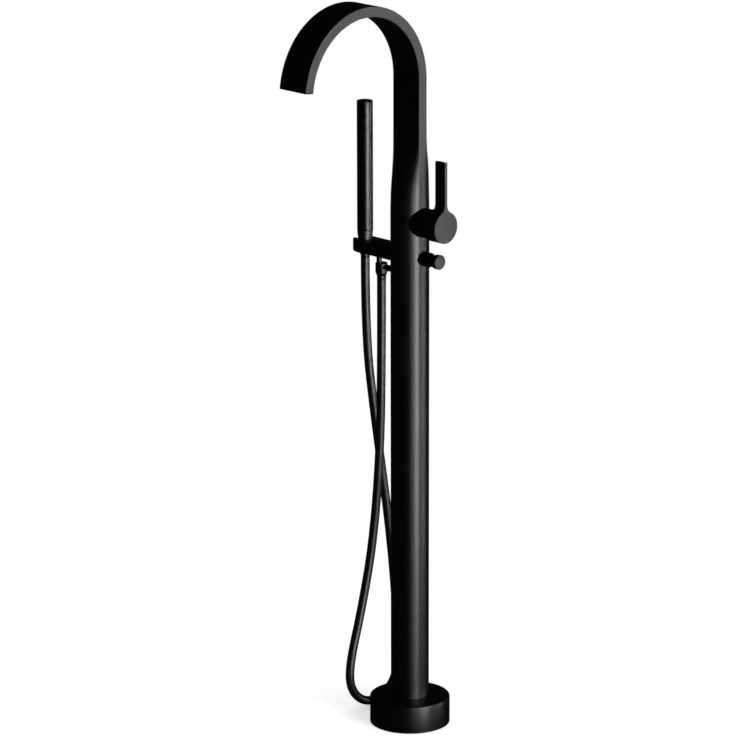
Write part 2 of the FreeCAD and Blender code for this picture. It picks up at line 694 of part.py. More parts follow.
def spout_outlet():
    def draw(sketch):
        for share in (0, 1):
            half_x = f"(strip_width / 2 - strip_wall - running_gap - outlet_side * {share})"
            half_y = f"(strip_depth / 2 - strip_wall - running_gap - outlet_wall * {share})"
            polygon(sketch, ((half_x, half_y), (half_x, "-" + half_y),
                             ("-" + half_x, "-" + half_y), ("-" + half_x, half_y)))
    body = along_bend("spout_outlet", draw, "outlet_angle")
    start = math.radians(size["arch_sweep"] - size["outlet_angle"] - size["outlet_recess"])
    reach = size["arch_radius"]
    turn = FreeCAD.Rotation(Vector(1, 0, 0), math.degrees(start))
    body.Placement = FreeCAD.Placement(Vector(), turn)
    body.setExpression("Placement.Base.y", formula(f"arch_radius * ({math.cos(start)} - 1)"))
    body.setExpression("Placement.Base.z", formula(f"arch_centre + arch_radius * {math.sin(start)}"))
    return body


keep(column_tube(), column_neck(), spout_arch(), spout_waterway(), spout_outlet())


# ---------------------------------------------------------------- supply
def inlet(label, side):
    return turned(label, (
        ("inlet_bore", "inlet_lift"),
        ("inlet_radius", "inlet_lift"),
        ("inlet_radius", "inlet_top"),
        ("riser_radius", "inlet_top"),
        ("riser_radius", "inlet_top - riser_grip"),
        ("riser_radius - pipe_wall", "inlet_top - riser_grip"),
        ("riser_radius - pipe_wall", "inlet_lift + inlet_thread"),
        ("inlet_bore", "inlet_lift + inlet_thread"),
    ), y=f"{side} * supply_offset")


def riser(label, side):
    low = "inlet_top - riser_grip"
    high = "valve_bottom + riser_grip"
    return turned(label, (
        ("riser_radius - pipe_wall", low),
        ("riser_radius", low),
        ("riser_radius", high),
        ("riser_radius - pipe_wall", high),
    ), y=f"{side} * supply_offset")


def riser_nuts():
    nuts = []
    for side in (-1, 1):
        place = dict(y=f"{side} * supply_offset", z="valve_bottom - nut_height")
        blank = hexagon(f"nut_blank_{side + 1}", "nut_radius", "nut_height", **place)
        bore = cylinder(f"nut_bore_{side + 1}", "riser_radius", "nut_height", **place)
        nuts.append(cut(f"nut_{side + 1}", blank, [bore]))
    return group("riser_nuts", nuts)


def riser_clip():
    disc = cylinder("clip_disc", "column_bore - running_gap", "clip_thickness",
                    z="column_height * clip_share")
    holes = [cylinder("clip_middle", "riser_radius", "clip_thickness", z="column_height * clip_share")]
    for side in (-1, 1):
        holes.append(cylinder(f"clip_hole_{side + 1}", "riser_radius", "clip_thickness",
                              y=f"{side} * supply_offset", z="column_height * clip_share"))
    return cut("riser_clip", disc, holes)


keep(inlet("hot_inlet", -1), inlet("cold_inlet", 1), riser("hot_riser", -1), riser("cold_riser", 1))
keep(riser_nuts(), riser_clip())


# ---------------------------------------------------------------- valve
def valve_body():
    """Brass body: hot and cold rise at the sides, mixed water comes down the middle to the
    diverter, which sends it up to the spout or down to the hose outlet."""
    bulk = joined("valve_bulk", [
        cylinder("valve_barrel", "valve_radius", "valve_top - valve_bottom", z="valve_bottom"),
        cylinder("valve_mixer_boss", "mixer_boss", "boss_end", z="mixer_height", points="right"),
        cylinder("valve_diverter_boss", "diverter_boss", "diverter_boss_end",
                 z="diverter_height", points="right"),
        cylinder("valve_outlet_boss", "stub_radius + outlet_boss_wall", "column_bore - outlet_boss_gap",
                 z="outlet_height", points="left"),
    ])
    hot_cold = []
    for side in (-1, 1):
        y = f"{side} * supply_offset"
        hot_cold += [
            cylinder(f"valve_socket_{side + 1}", "riser_radius", "riser_grip", y=y, z="valve_bottom"),
            cylinder(f"valve_way_{side + 1}", "waterway_bore", "mixer_height - valve_bottom", y=y,
                     z="valve_bottom"),
            cylinder(f"valve_port_{side + 1}", "port_bore", "seal_start + overrun", y=y,
                     z="mixer_height - waterway_bore", points="right"),
        ]
    ways = [
        cylinder("valve_cartridge_seat", "cartridge_radius + running_gap", "boss_end",
                 x="seal_start", z="mixer_height", points="right"),
        cylinder("valve_nut_thread", "nut_thread + running_gap", "boss_end",
                 x="cartridge_end", z="mixer_height", points="right"),
        cylinder("valve_mixed_port", "waterway_bore", "seal_start + overrun",
                 z="mixer_height", points="right"),
        cylinder("valve_mixed_way", "waterway_bore", "mixer_height - diverter_height",
                 z="diverter_height"),
        cylinder("valve_diverter_seat", "diverter_bore + running_gap",
                 "diverter_boss_end + diverter_well + overrun",
                 x="-diverter_well", z="diverter_height", points="right"),
        cylinder("valve_spout_way", "waterway_bore", "valve_top - diverter_height - way_cap",
                 x="-way_offset", z="diverter_height"),
        cylinder("valve_spout_socket", "waterway_radius", "riser_grip", z="valve_top - riser_grip"),
        cylinder("valve_hose_way", "waterway_bore", "diverter_height - outlet_height",
                 x="-way_offset", z="outlet_height"),
        cylinder("valve_hose_port", "port_bore", "column_radius",
                 x="-way_offset", z="outlet_height", points="left"),
        cylinder("valve_stub_socket", "stub_radius", "column_radius",
                 x="stub_grip - valve_radius", z="outlet_height", points="left"),
    ]
    return cut("valve_body", bulk, hot_cold + ways)


def valve_ring():
    """Plastic ring that centres the valve body in the column between its two bosses."""
    inner, outer = "valve_radius + running_gap", "column_bore - running_gap"
    low = "mixer_height - mixer_boss - valve_ring_gap - valve_ring_height"
    high = f"{low} + valve_ring_height"
    return turned("valve_ring", ((inner, low), (outer, low), (outer, high), (inner, high)))


keep(valve_body(), valve_ring())


# ---------------------------------------------------------------- lever mixer
def mixer_sleeve():
    """Fixed sleeve from the column to the lever, held by the retaining nut's flange."""
    bore = "mixer_boss + body_gap"
    lip = "boss_end + sleeve_lip"
    blank = turned("sleeve_blank", (
        (bore, "saddle_start"),
        ("sleeve_radius", "saddle_start"),
        ("sleeve_radius", "sleeve_end"),
        ("mixer_boss + body_gap", "sleeve_end"),
        ("mixer_boss + body_gap", lip),
        ("nut_thread + running_gap", lip),
        ("nut_thread + running_gap", "boss_end"),
        (bore, "boss_end"),
    ), z="mixer_height", points="right")
    return cut("mixer_sleeve", blank, [column_void("sleeve_saddle"), neck_form("sleeve_neck")])


def cartridge():
    """Ceramic disc cartridge: a barrel with a well for its turning top."""
    return turned("cartridge", (
        ("0", "cartridge_start"),
        ("cartridge_radius", "cartridge_start"),
        ("cartridge_radius", "cartridge_end"),
        ("turret_radius + running_gap", "cartridge_end"),
        ("turret_radius + running_gap", "cartridge_end - turret_well"),
        ("stem_radius + stem_room", "cartridge_end - turret_well"),
        ("stem_radius + stem_room", "cartridge_end - stem_well"),
        ("0", "cartridge_end - stem_well"),
    ), z="mixer_height", points="right")


def cartridge_seals():
    """Three rubber rings between the cartridge's base and the valve body's ports."""
    rings = []
    spots = (("0", "0", "waterway_bore"), ("-waterway_bore", "-supply_offset", "port_bore"),
             ("-waterway_bore", "supply_offset", "port_bore"))
    for index, (rise, y, bore) in enumerate(spots):
        rings.append(turned(f"cartridge_seal_{index}", (
            (bore, "seal_start"),
            (f"{bore} + seal_wall", "seal_start"),
            (f"{bore} + seal_wall", "cartridge_start"),
            (bore, "cartridge_start"),
        ), y=f"({y}) * port_share", z=f"mixer_height + ({rise})", points="right"))
    return group("cartridge_seals", rings)


def retaining_nut():
    """Nut that presses the cartridge home; its dome stays clear of the tilting lever."""
    return turned("retaining_nut", (
        ("nut_mouth", "cartridge_end"),
        ("nut_thread", "cartridge_end"),
        ("nut_thread", "boss_end + sleeve_lip"),
        ("mixer_boss", "boss_end + sleeve_lip"),
        ("mixer_boss", "handle_start"),
        ("nut_mouth + nut_dome_rim", "handle_start + nut_dome"),
        ("nut_mouth", "handle_start + nut_dome"),
    ), z="mixer_height", points="right")


def cartridge_turret():
    blank = turned("turret_blank", (
        ("0", "cartridge_end - turret_well + body_gap"),
        ("turret_radius", "cartridge_end - turret_well + body_gap"),
        ("turret_radius", "pivot + turret_nose"),
        ("0", "pivot + turret_nose"),
    ), z="mixer_height", points="right")
    slot = box("turret_slot", "pivot", "2 * (stem_radius + body_gap)", "2 * (stem_radius + turret_room)",
               "cartridge_end - turret_well", "-stem_radius - body_gap",
               "mixer_height - stem_radius - turret_room")
    hole = cylinder("turret_pin_hole", "pin_radius", "2 * (turret_radius + overrun)",
                    x="pivot", y="-turret_radius - overrun", z="mixer_height", points="back")
    return cut("cartridge_turret", blank, [slot, hole])


def stem_pin():
    return cylinder("stem_pin", "pin_radius", "2 * (turret_radius - pin_inset)",
                    x="pivot", y="pin_inset - turret_radius", z="mixer_height", points="back")


def cartridge_stem():
    rod = cylinder("stem_rod", "stem_radius", "handle_floor + stem_grip - (pivot - stem_tail)",
                   x="pivot - stem_tail", z="mixer_height", points="right")
    hole = cylinder("stem_hole", "pin_radius + running_gap", "2 * (stem_radius + overrun)",
                    x="pivot", y="-stem_radius - overrun", z="mixer_height", points="back")
    return cut("cartridge_stem", rod, [hole])


def blade_outline(sketch):
    """Side view of hub and blade: a circle that runs through two hollow blends into the blade."""
    half = size["blade_thickness"] / 2
    hub, blend, top = size["handle_radius"], size["blade_blend"], size["blade_top"]
    rise = math.sqrt((hub + blend) ** 2 - (half + blend) ** 2)
    touch_y = (half + blend) * hub / (hub + blend)
    touch_z = rise * hub / (hub + blend)
    turn = math.atan2(touch_z, touch_y)
    up = Vector(0, 0, 1)
    add = sketch.addGeometry
    add(Part.ArcOfCircle(Part.Circle(Vector(), up, hub), math.pi - turn, 2 * math.pi + turn), False)
    right = Part.Circle(Vector(half + blend, rise, 0), up, blend)
    add(Part.ArcOfCircle(right, math.pi, math.pi + turn), False)
    add(Part.LineSegment(Vector(half, rise, 0), Vector(half, top, 0)), False)
    add(Part.LineSegment(Vector(half, top, 0), Vector(-half, top, 0)), False)
    add(Part.LineSegment(Vector(-half, top, 0), Vector(-half, rise, 0)), False)
    left = Part.Circle(Vector(-half - blend, rise, 0), up, blend)
    add(Part.ArcOfCircle(left, 2 * math.pi - turn, 2 * math.pi), False)
    join = sketch.addConstraint
    join(Sketcher.Constraint("Coincident", 0, 3, -1, 1))
    join(Sketcher.Constraint("Tangent", 0, 2, 1, 2))
    join(Sketcher.Constraint("Tangent", 1, 1, 2, 1))
    join(Sketcher.Constraint("Coincident", 2, 2, 3, 1))
    join(Sketcher.Constraint("Coincident", 3, 2, 4, 1))
    join(Sketcher.Constraint("Tangent", 4, 2, 5, 2))
    join(Sketcher.Constraint("Tangent", 5, 1, 0, 1))
    join(Sketcher.Constraint("Vertical", 2))
    join(Sketcher.Constraint("Vertical", 4))
    join(Sketcher.Constraint("Equal", 1, 5))
    limits = (
        (Sketcher.Constraint("Radius", 0, hub), "handle_radius"),
        (Sketcher.Constraint("Radius", 1, blend), "blade_blend"),
        (Sketcher.Constraint("DistanceX", -1, 1, 2, 2, half), "blade_thickness / 2"),
        (Sketcher.Constraint("DistanceX", 4, 1, -1, 1, half), "blade_thickness / 2"),
        (Sketcher.Constraint("DistanceY", -1, 1, 2, 2, top), "blade_top"),
        (Sketcher.Constraint("DistanceY", -1, 1, 4, 1, top), "blade_top"),
    )
    for limit, text in limits:
        index = join(limit)
        sketch.setExpression(f"Constraints[{index}]", formula(text))


def lever_handle():
    """Lever: a hollow hub that covers the retaining nut, with a flat upright blade."""
    blade = doc.addObject("PartDesign::Body", "lever_blade")
    sketch = sketch_on(blade, "YZ_Plane", "lever_outline")
    blade_outline(sketch)
    pad = blade.newObject("PartDesign::Pad", "lever_pad")
    pad.Profile = sketch
    bind(pad, Length="handle_end - blade_start")
    locate(blade, x="blade_start", z="mixer_height")
    doc.recompute()
    face = size["handle_end"] - size["blade_start"] - SAME_PLACE
    tip = size["handle_radius"] + size["blade_blend"]
    rounded(blade, "handle_round", lambda edge: edge.CenterOfMass.x > face or edge.CenterOfMass.z > tip)
    rim_wall = "sleeve_radius"
    skirt = turned("lever_skirt", (
        (rim_wall, "handle_start"),
        ("handle_radius", "handle_start"),
        ("handle_radius", "blade_start + rim_grip"),
        (rim_wall, "blade_start + rim_grip"),
    ), z="mixer_height", points="right")
    bulk = joined("lever_bulk", [blade, skirt])
    return cut("lever_handle", bulk, [
        cylinder("lever_hollow", rim_wall, "handle_floor - handle_start + overrun",
                 x="handle_start - overrun", z="mixer_height", points="right"),
        cylinder("lever_socket", "stem_radius + running_gap",
                 "stem_grip + body_gap + overrun",
                 x="handle_floor - overrun", z="mixer_height", points="right"),
        cylinder("lever_screw_hole", "lever_screw", "handle_radius",
                 x="handle_floor + lever_screw_place", z="mixer_height - handle_radius - overrun"),
    ])


def lever_grub_screw():
    return cylinder("lever_grub_screw", "lever_screw", "lever_screw_length",
                    x="handle_floor + lever_screw_place",
                    z="mixer_height - stem_radius - lever_screw_length")


keep(mixer_sleeve(), cartridge(), cartridge_seals(), retaining_nut())
keep(cartridge_turret(), stem_pin(), cartridge_stem(), lever_handle(), lever_grub_screw())


# ---------------------------------------------------------------- diverter
def diverter_rosette():
    bore = "diverter_boss + body_gap"
    blank = turned("rosette_blank", (
        (bore, "saddle_start"),
        ("rosette_radius", "saddle_start"),
        ("rosette_radius", "rosette_end"),
        ("spindle_radius + body_gap", "rosette_end"),
        ("spindle_radius + body_gap", "rosette_end - rosette_face"),
        (bore, "rosette_end - rosette_face"),
    ), z="diverter_height", points="right")
    rounded(blank, "handle_round", rim(size["rosette_radius"], size["rosette_end"]))
    return cut("diverter_rosette", blank, [column_void("rosette_saddle")])


def diverter_cartridge():
    """Guide for the spindle, screwed into its boss; the spring works in its well."""
    well = "spindle_collar + body_gap"
    guide = "spindle_radius + running_gap"
    return turned("diverter_cartridge", (
        (well, "guide_start"),
        ("diverter_bore", "guide_start"),
        ("diverter_bore", "diverter_boss_end"),
        ("diverter_boss", "diverter_boss_end"),
        ("diverter_boss", "rosette_end - rosette_face - body_gap"),
        (guide, "rosette_end - rosette_face - body_gap"),
        (guide, "spring_end + body_gap"),
        (well, "spring_end + body_gap"),
    ), z="diverter_height", points="right")


def diverter_spindle():
    return turned("diverter_spindle", (
        ("0", "-spindle_head"),
        ("spindle_collar", "-spindle_head"),
        ("spindle_collar", "0"),
        ("spindle_radius", "0"),
        ("spindle_radius", "spring_start - body_gap - spindle_flange"),
        ("spindle_collar", "spring_start - body_gap - spindle_flange"),
        ("spindle_collar", "spring_start - body_gap"),
        ("spindle_radius", "spring_start - body_gap"),
        ("spindle_radius", "knob_end - knob_cap"),
        ("0", "knob_end - knob_cap"),
    ), z="diverter_height", points="right")


def diverter_spring():
    """Coil that lies loosely round the spindle, between its collar and the guide."""
    coil_radius = "((spindle_radius + spindle_collar) / 2 + coil_play)"
    length = "(spring_end - spring_start - 2 * spring_wire)"
    start = "spring_start + spring_wire"
    helix = doc.addObject("Part::Helix", "spring_path")
    bind(helix, Radius=coil_radius, Height=length, Pitch=f"{length} / spring_turns")
    locate(helix, x=start, z="diverter_height", points="right")
    ring = doc.addObject("Part::Circle", "spring_wire_section")
    bind(ring, Radius="spring_wire")
    locate(ring, x=start, z=f"diverter_height - {coil_radius}", points="back")
    coil = doc.addObject("Part::Sweep", "diverter_spring")
    coil.Sections = [ring]
    coil.Spine = (helix, [])
    coil.Solid = True
    coil.Frenet = True
    return coil


def diverter_knob():
    body = turned("diverter_knob", (
        ("spindle_radius", "knob_start"),
        ("knob_neck", "knob_start"),
        ("knob_neck", "knob_step"),
        ("rosette_radius", "knob_step"),
        ("rosette_radius", "knob_end"),
        ("0", "knob_end"),
        ("0", "knob_end - knob_cap"),
        ("spindle_radius", "knob_end - knob_cap"),
    ), z="diverter_height", points="right")
    return rounded(body, "handle_round", lambda edge: rim(size["rosette_radius"], size["knob_end"])(edge)
                   or rim(size["rosette_radius"], size["knob_step"])(edge))


keep(diverter_rosette(), diverter_cartridge(), diverter_spindle(), diverter_spring(), diverter_knob())


# ---------------------------------------------------------------- hand shower holder
def seat_cone(label, extra, low, high):
    """A cone round the hose nut's own cone, wider by an extra radius."""
    cone = doc.addObject("Part::Cone", label)
    at_top = "handset_radius - cone_taper * (handset_bottom - ({}))"
    bind(cone, Radius1=f"{at_top.format(low)} + {extra}", Radius2=f"{at_top.format(high)} + {extra}",
         Height=f"({high}) - ({low})")
    return locate(cone, x="-arm_reach", z=low)


def hose_slot(label):
    return box(label, "2 * arm_radius", "slot_width", "arm_height + 2 * overrun",
               "-arm_reach - 2 * arm_radius", "-slot_width / 2", "arm_bottom - overrun")


def holder_arm():
    """Flat arm with a round end; its inner end follows the column."""
    body = doc.addObject("PartDesign::Body", "arm_blank")
    sketch = sketch_on(body, "XY_Plane", "arm_outline")
    reach, half = size["arm_reach"], size["arm_radius"]
    inner = size["column_radius"] / 2
    up = Vector(0, 0, 1)
    sketch.addGeometry(Part.LineSegment(Vector(-inner, half, 0), Vector(-reach, half, 0)), False)
    end = Part.Circle(Vector(-reach, 0, 0), up, half)
    sketch.addGeometry(Part.ArcOfCircle(end, math.pi / 2, 3 * math.pi / 2), False)
    sketch.addGeometry(Part.LineSegment(Vector(-reach, -half, 0), Vector(-inner, -half, 0)), False)
    sketch.addGeometry(Part.LineSegment(Vector(-inner, -half, 0), Vector(-inner, half, 0)), False)
    join = sketch.addConstraint
    join(Sketcher.Constraint("Tangent", 0, 2, 1, 1))
    join(Sketcher.Constraint("Tangent", 1, 2, 2, 1))
    join(Sketcher.Constraint("Coincident", 2, 2, 3, 1))
    join(Sketcher.Constraint("Coincident", 3, 2, 0, 1))
    join(Sketcher.Constraint("Horizontal", 0))
    join(Sketcher.Constraint("Horizontal", 2))
    join(Sketcher.Constraint("Vertical", 3))
    join(Sketcher.Constraint("PointOnObject", 1, 3, -1))
    limits = (
        (Sketcher.Constraint("Radius", 1, half), "arm_radius"),
        (Sketcher.Constraint("DistanceX", 1, 3, -1, 1, reach), "arm_reach"),
        (Sketcher.Constraint("DistanceX", 3, 1, -1, 1, inner), "column_radius / 2"),
    )
    for limit, text in limits:
        index = join(limit)
        sketch.setExpression(f"Constraints[{index}]", formula(text))
    pad = body.newObject("PartDesign::Pad", "arm_pad")
    pad.Profile = sketch
    bind(pad, Length="arm_height")
    locate(body, z="arm_bottom")
    flat = size["column_radius"] / 2 + SAME_PLACE
    rounded(body, "arm_round", lambda edge: edge.CenterOfMass.x < -flat
            and edge.BoundBox.ZLength < SAME_PLACE)
    return cut("holder_arm", body, [
        column_void("arm_saddle"),
        seat_cone("arm_seat", "body_gap + liner_wall", "arm_bottom - overrun", "arm_top + overrun"),
        hose_slot("arm_slot"),
        cylinder("arm_bolt_hole", "arm_bolt", "column_radius + arm_bolt_reach", z="diverter_height",
                 points="left"),
    ])


def holder_liner():
    outer = seat_cone("liner_blank", "body_gap + liner_wall", "arm_bottom", "arm_top")
    return cut("holder_liner", outer, [
        seat_cone("liner_seat", "body_gap", "arm_bottom - overrun", "arm_top + overrun"),
        hose_slot("liner_slot"),
    ])


def arm_screw():
    end = "column_radius + arm_bolt_reach"
    return turned("arm_screw", (
        ("0", "column_bore - bolt_seat - bolt_head"),
        ("arm_bolt + bolt_head_wall", "column_bore - bolt_seat - bolt_head"),
        ("arm_bolt + bolt_head_wall", "column_bore - bolt_seat"),
        ("arm_bolt", "column_bore - bolt_seat"),
        ("arm_bolt", end),
        ("0", end),
    ), z="diverter_height", points="left")


def holder_post():
    return cylinder("holder_post", "post_radius", "arm_bottom - elbow_top",
                    x="-post_reach", z="elbow_top")


keep(holder_arm(), holder_liner(), arm_screw(), holder_post())


# ---------------------------------------------------------------- hose outlet
def outlet_stub():
    start = "valve_radius - stub_grip"
    end = "outlet_reach - elbow_radius + stub_socket"
    return turned("outlet_stub", (
        ("stub_radius - pipe_wall", start),
        ("stub_radius", start),
        ("stub_radius", end),
        ("stub_radius - pipe_wall", end),
    ), z="outlet_height", points="left")


def outlet_elbow():
    """Elbow that turns the water down, with a threaded spigot inside the hose nut."""
    bulk = turned("elbow_blank", (
        ("0", "elbow_bottom - outlet_nut_height + nut_floor"),
        ("stub_radius + elbow_wall", "elbow_bottom - outlet_nut_height + nut_floor"),
        ("stub_radius + elbow_wall", "elbow_bottom"),
        ("elbow_radius", "elbow_bottom"),
        ("elbow_radius", "elbow_top"),
        ("0", "elbow_top"),
    ), x="-outlet_reach")
    start = "outlet_reach - elbow_radius - overrun"
    return cut("outlet_elbow", bulk, [
        cylinder("elbow_socket", "stub_radius", "stub_socket + overrun",
                 x=f"-({start})", z="outlet_height", points="left"),
        cylinder("elbow_way", "stub_radius - pipe_wall",
                 "elbow_radius + overrun + stub_radius - pipe_wall",
                 x=f"-({start})", z="outlet_height", points="left"),
        cylinder("elbow_drop", "stub_radius - pipe_wall",
                 "outlet_height - elbow_bottom + outlet_nut_height",
                 x="-outlet_reach", z="elbow_bottom - outlet_nut_height"),
    ])


def outlet_nut():
    low = "elbow_bottom - outlet_nut_height"
    return turned("outlet_nut", (
        ("stub_radius", low),
        ("ferrule_radius + body_gap", low),
        ("elbow_radius", f"{low} + nut_cone"),
        ("elbow_radius", "elbow_bottom"),
        ("stub_radius + elbow_wall", "elbow_bottom"),
        ("stub_radius + elbow_wall", f"{low} + nut_floor"),
        ("stub_radius", f"{low} + nut_floor"),
    ), x="-outlet_reach")


def outlet_ferrule():
    top = "elbow_bottom - outlet_nut_height"
    return turned("outlet_ferrule", (
        ("0", f"{top} - ferrule_length"),
        ("ferrule_radius", f"{top} - ferrule_length"),
        ("ferrule_radius", top),
        ("0", top),
    ), x="-outlet_reach")


keep(outlet_stub(), outlet_elbow(), outlet_nut(), outlet_ferrule())


# ---------------------------------------------------------------- hose
hose_top = size["elbow_bottom"] - size["outlet_nut_height"] - size["ferrule_length"]
hose_end = size["nut_bottom"] - size["ferrule_length"]
HOSE_ROUTE = (
    (-size["outlet_reach"], 0, hose_top),
    (-62.5, 0, 575),
    (-70.5, 3.8, 425),
    (-82, 0, 280),
    (-88.5, -20, 168),
    (-89.5, -45, 86),
    (-90, -45, 41),
    (-90, -14, 9.5),
    (-90, 30, 9.5),
    (-90, 61, 40),
    (-91, 61.5, 85),
    (-92.5, 60, 172),
    (-94, 46.5, 300),
    (-96.5, 18, 478),
    (-98.5, 0, 614),
    (-size["arm_reach"], 0, hose_end),
)


RUN_SHARE = 0.45


def cord_path(points):
    """Straight runs joined by tangent arcs, each as large as its two runs allow."""
    edges = []
    radii = []
    start = points[0]
    for before, corner, after in zip(points, points[1:], points[2:]):
        back = (before - corner).normalize()
        onward = (after - corner).normalize()
        turn = math.pi - back.getAngle(onward)
        reach = RUN_SHARE * min((before - corner).Length, (after - corner).Length)
        radius = reach / math.tan(turn / 2)
        radii.append(radius)
        enter = corner + back * reach
        leave = corner + onward * reach
        toward = (back + onward).normalize()
        centre = corner + toward * (radius / math.cos(turn / 2))
        middle = centre - toward * radius
        edges.append(Part.LineSegment(start, enter).toShape())
        edges.append(Part.Arc(enter, middle, leave).toShape())
        start = leave
    edges.append(Part.LineSegment(start, points[-1]).toShape())
    return Part.Wire(edges), radii


def shower_hose():
    points = [Vector(*point) for point in HOSE_ROUTE]
    path, radii = cord_path(points)
    first = Part.Circle(points[0], points[1] - points[0], size["hose_radius"]).toShape()
    tube = path.makePipeShell([Part.Wire([first])], True, False)
    hose = doc.addObject("Part::Feature", "shower_hose")
    hose.Shape = tube
    hose.Placement = FreeCAD.Placement()
    expected = math.pi * size["hose_radius"] ** 2 * path.Length
    print("hose length", round(path.Length, 1), "radii", [round(radius) for radius in radii])
    print("hose volume over section times length", round(tube.Volume / expected, 4))
    return hose


keep(shower_hose())


# ---------------------------------------------------------------- hand shower
AXIS = dict(x="-arm_reach")


def hose_cone_nut():
    """Conical nut on the hose: it screws onto the hand shower and sits in the holder."""
    throat = "tail_radius + running_gap"
    thread = "spigot_radius + 2 * running_gap"
    return turned("hose_cone_nut", (
        (throat, "nut_bottom"),
        ("handset_radius - cone_taper * (cone_length + body_gap)", "nut_bottom"),
        ("handset_radius - cone_taper * body_gap", "nut_top"),
        (thread, "nut_top"),
        (thread, "nut_ledge"),
        (throat, "nut_ledge"),
    ), **AXIS)


def handset_ferrule():
    """Pressed sleeve and barbed tail on the hose's end, with a flange inside the nut."""
    return turned("handset_ferrule", (
        ("0", "nut_bottom - ferrule_length"),
        ("ferrule_radius", "nut_bottom - ferrule_length"),
        ("ferrule_radius", "nut_bottom"),
        ("tail_radius", "nut_bottom"),
        ("tail_radius", "nut_ledge"),
        ("spigot_radius - body_gap", "nut_ledge"),
        ("spigot_radius - body_gap", "nut_ledge + ferrule_flange"),
        ("0", "nut_ledge + ferrule_flange"),
    ), **AXIS)


def hose_washer():
    low = "nut_ledge + ferrule_flange"
    return turned("hose_washer", (
        ("washer_bore", low),
        ("spigot_radius - body_gap", low),
        ("spigot_radius - body_gap", f"{low} + washer_thickness"),
        ("washer_bore", f"{low} + washer_thickness"),
    ), **AXIS)


def handset_spigot():
    """Threaded inlet at the foot of the hand shower, with a seat for the check valve."""
    tube_bore = "handset_radius - handset_wall"
    return turned("handset_spigot", (
        ("check_radius", "spigot_bottom"),
        ("spigot_radius", "spigot_bottom"),
        ("spigot_radius", "handset_bottom"),
        (tube_bore, "handset_bottom"),
        (tube_bore, "handset_bottom + spigot_plug"),
        ("washer_bore", "handset_bottom + spigot_plug"),
        ("washer_bore", "handset_bottom + check_ledge"),
        ("check_radius", "handset_bottom + check_ledge"),
    ), **AXIS)


def check_valve():
    low = "spigot_bottom + check_inset"
    return turned("check_valve", (
        ("check_bore", low),
        ("check_radius", low),
        ("check_radius", f"{low} + check_length"),
        ("check_bore", f"{low} + check_length"),
    ), **AXIS)


def window(label, width, inset=0):
    """A box on the hidden side of the hand shower, where the spray plate lies."""
    return box(label, "2 * handset_radius", width, f"window_height - 2 * ({inset})",
               "-arm_reach - 2 * handset_radius", f"-({width}) / 2", f"window_bottom + {inset}")


def tube(label, outer, inner, low, high, **place):
    return turned(label, ((inner, low), (outer, low), (outer, high), (inner, high)), **place)


def handset_tube():
    blank = tube("handset_blank", "handset_radius", "handset_radius - handset_wall",
                 "handset_bottom", "handset_top - cap_lip", **AXIS)
    return cut("handset_tube", blank, [window("handset_window", "window_width")])


def handset_chamber():
    blank = tube("chamber_blank", "chamber_radius", "chamber_radius - chamber_wall",
                 "handset_bottom + spigot_plug", "handset_top - cap_lip - cap_plug", **AXIS)
    opening = window("chamber_window", "window_width - 2 * chamber_inset", "chamber_inset")
    return cut("handset_chamber", blank, [opening])


def nozzles(label, radius, start, end):
    """Three lines of short cylinders that point outwards through the spray plate."""
    made = []
    rows = int(size["nozzle_rows"])
    for row in range(rows):
        for line in (-1, 0, 1):
            angle = 180 + line * size["nozzle_angle"]
            pin = cylinder(f"{label}_{row}_{line + 1}", radius, f"({end}) - ({start})")
            turn = FreeCAD.Rotation(Vector(0, 0, 1), angle) * TURNS["right"]
            pin.Placement = FreeCAD.Placement(Vector(), turn)
            out = f"({start}) * cos(180 deg + {line} * nozzle_angle * 1 deg)"
            aside = f"({start}) * sin(180 deg + {line} * nozzle_angle * 1 deg)"
            rise = f"window_bottom + window_height * {row + 0.5} / nozzle_rows"
            pin.setExpression("Placement.Base.x", formula(f"-arm_reach + {out}"))
            pin.setExpression("Placement.Base.y", formula(aside))
            pin.setExpression("Placement.Base.z", formula(rise))
            made.append(pin)
    return made


def spray_plate():
    ring = tube("plate_ring", "handset_radius - 2 * running_gap", "chamber_radius + running_gap",
                "window_bottom", "window_bottom + window_height", **AXIS)
    blank = common("plate_blank", ring, window("plate_window", "window_width - 2 * running_gap"))
    return cut("spray_plate", blank, nozzles("plate_hole", "nozzle_radius", "chamber_radius - overrun",
                                             "handset_radius + overrun"))


def spray_nozzles():
    return group("spray_nozzles", nozzles("nozzle", "nozzle_radius", "chamber_radius + 2 * running_gap",
                                          "handset_radius + nozzle_height"))


def handset_cap():
    plug = "handset_radius - handset_wall - running_gap"
    body = turned("handset_cap", (
        ("0", "handset_top - cap_lip - cap_plug"),
        (plug, "handset_top - cap_lip - cap_plug"),
        (plug, "handset_top - cap_lip"),
        ("handset_radius", "handset_top - cap_lip"),
        ("handset_radius", "handset_top"),
        ("0", "handset_top"),
    ), **AXIS)
    return rounded(body, "handle_round", rim(size["handset_radius"], size["handset_top"]))


keep(hose_cone_nut(), handset_ferrule(), hose_washer())
keep(handset_spigot(), check_valve(), handset_tube(), handset_chamber())
keep(spray_plate(), spray_nozzles(), handset_cap())

# ---------------------------------------------------------------- check and write
doc.recompute()
for item in doc.Objects:
    if "Invalid" in item.State or "Error" in item.State:
        raise RuntimeError(f"{item.Name} failed: {item.State}")
for piece in pieces:
    if piece.Shape.isNull() or not piece.Shape.isValid():
        raise RuntimeError(f"{piece.Label} has no valid shape")

os.makedirs("parts", exist_ok=True)
for piece in pieces:
    piece.Shape.exportStep(os.path.join("parts", piece.Label + ".step"))
print(len(pieces), "nodes written")
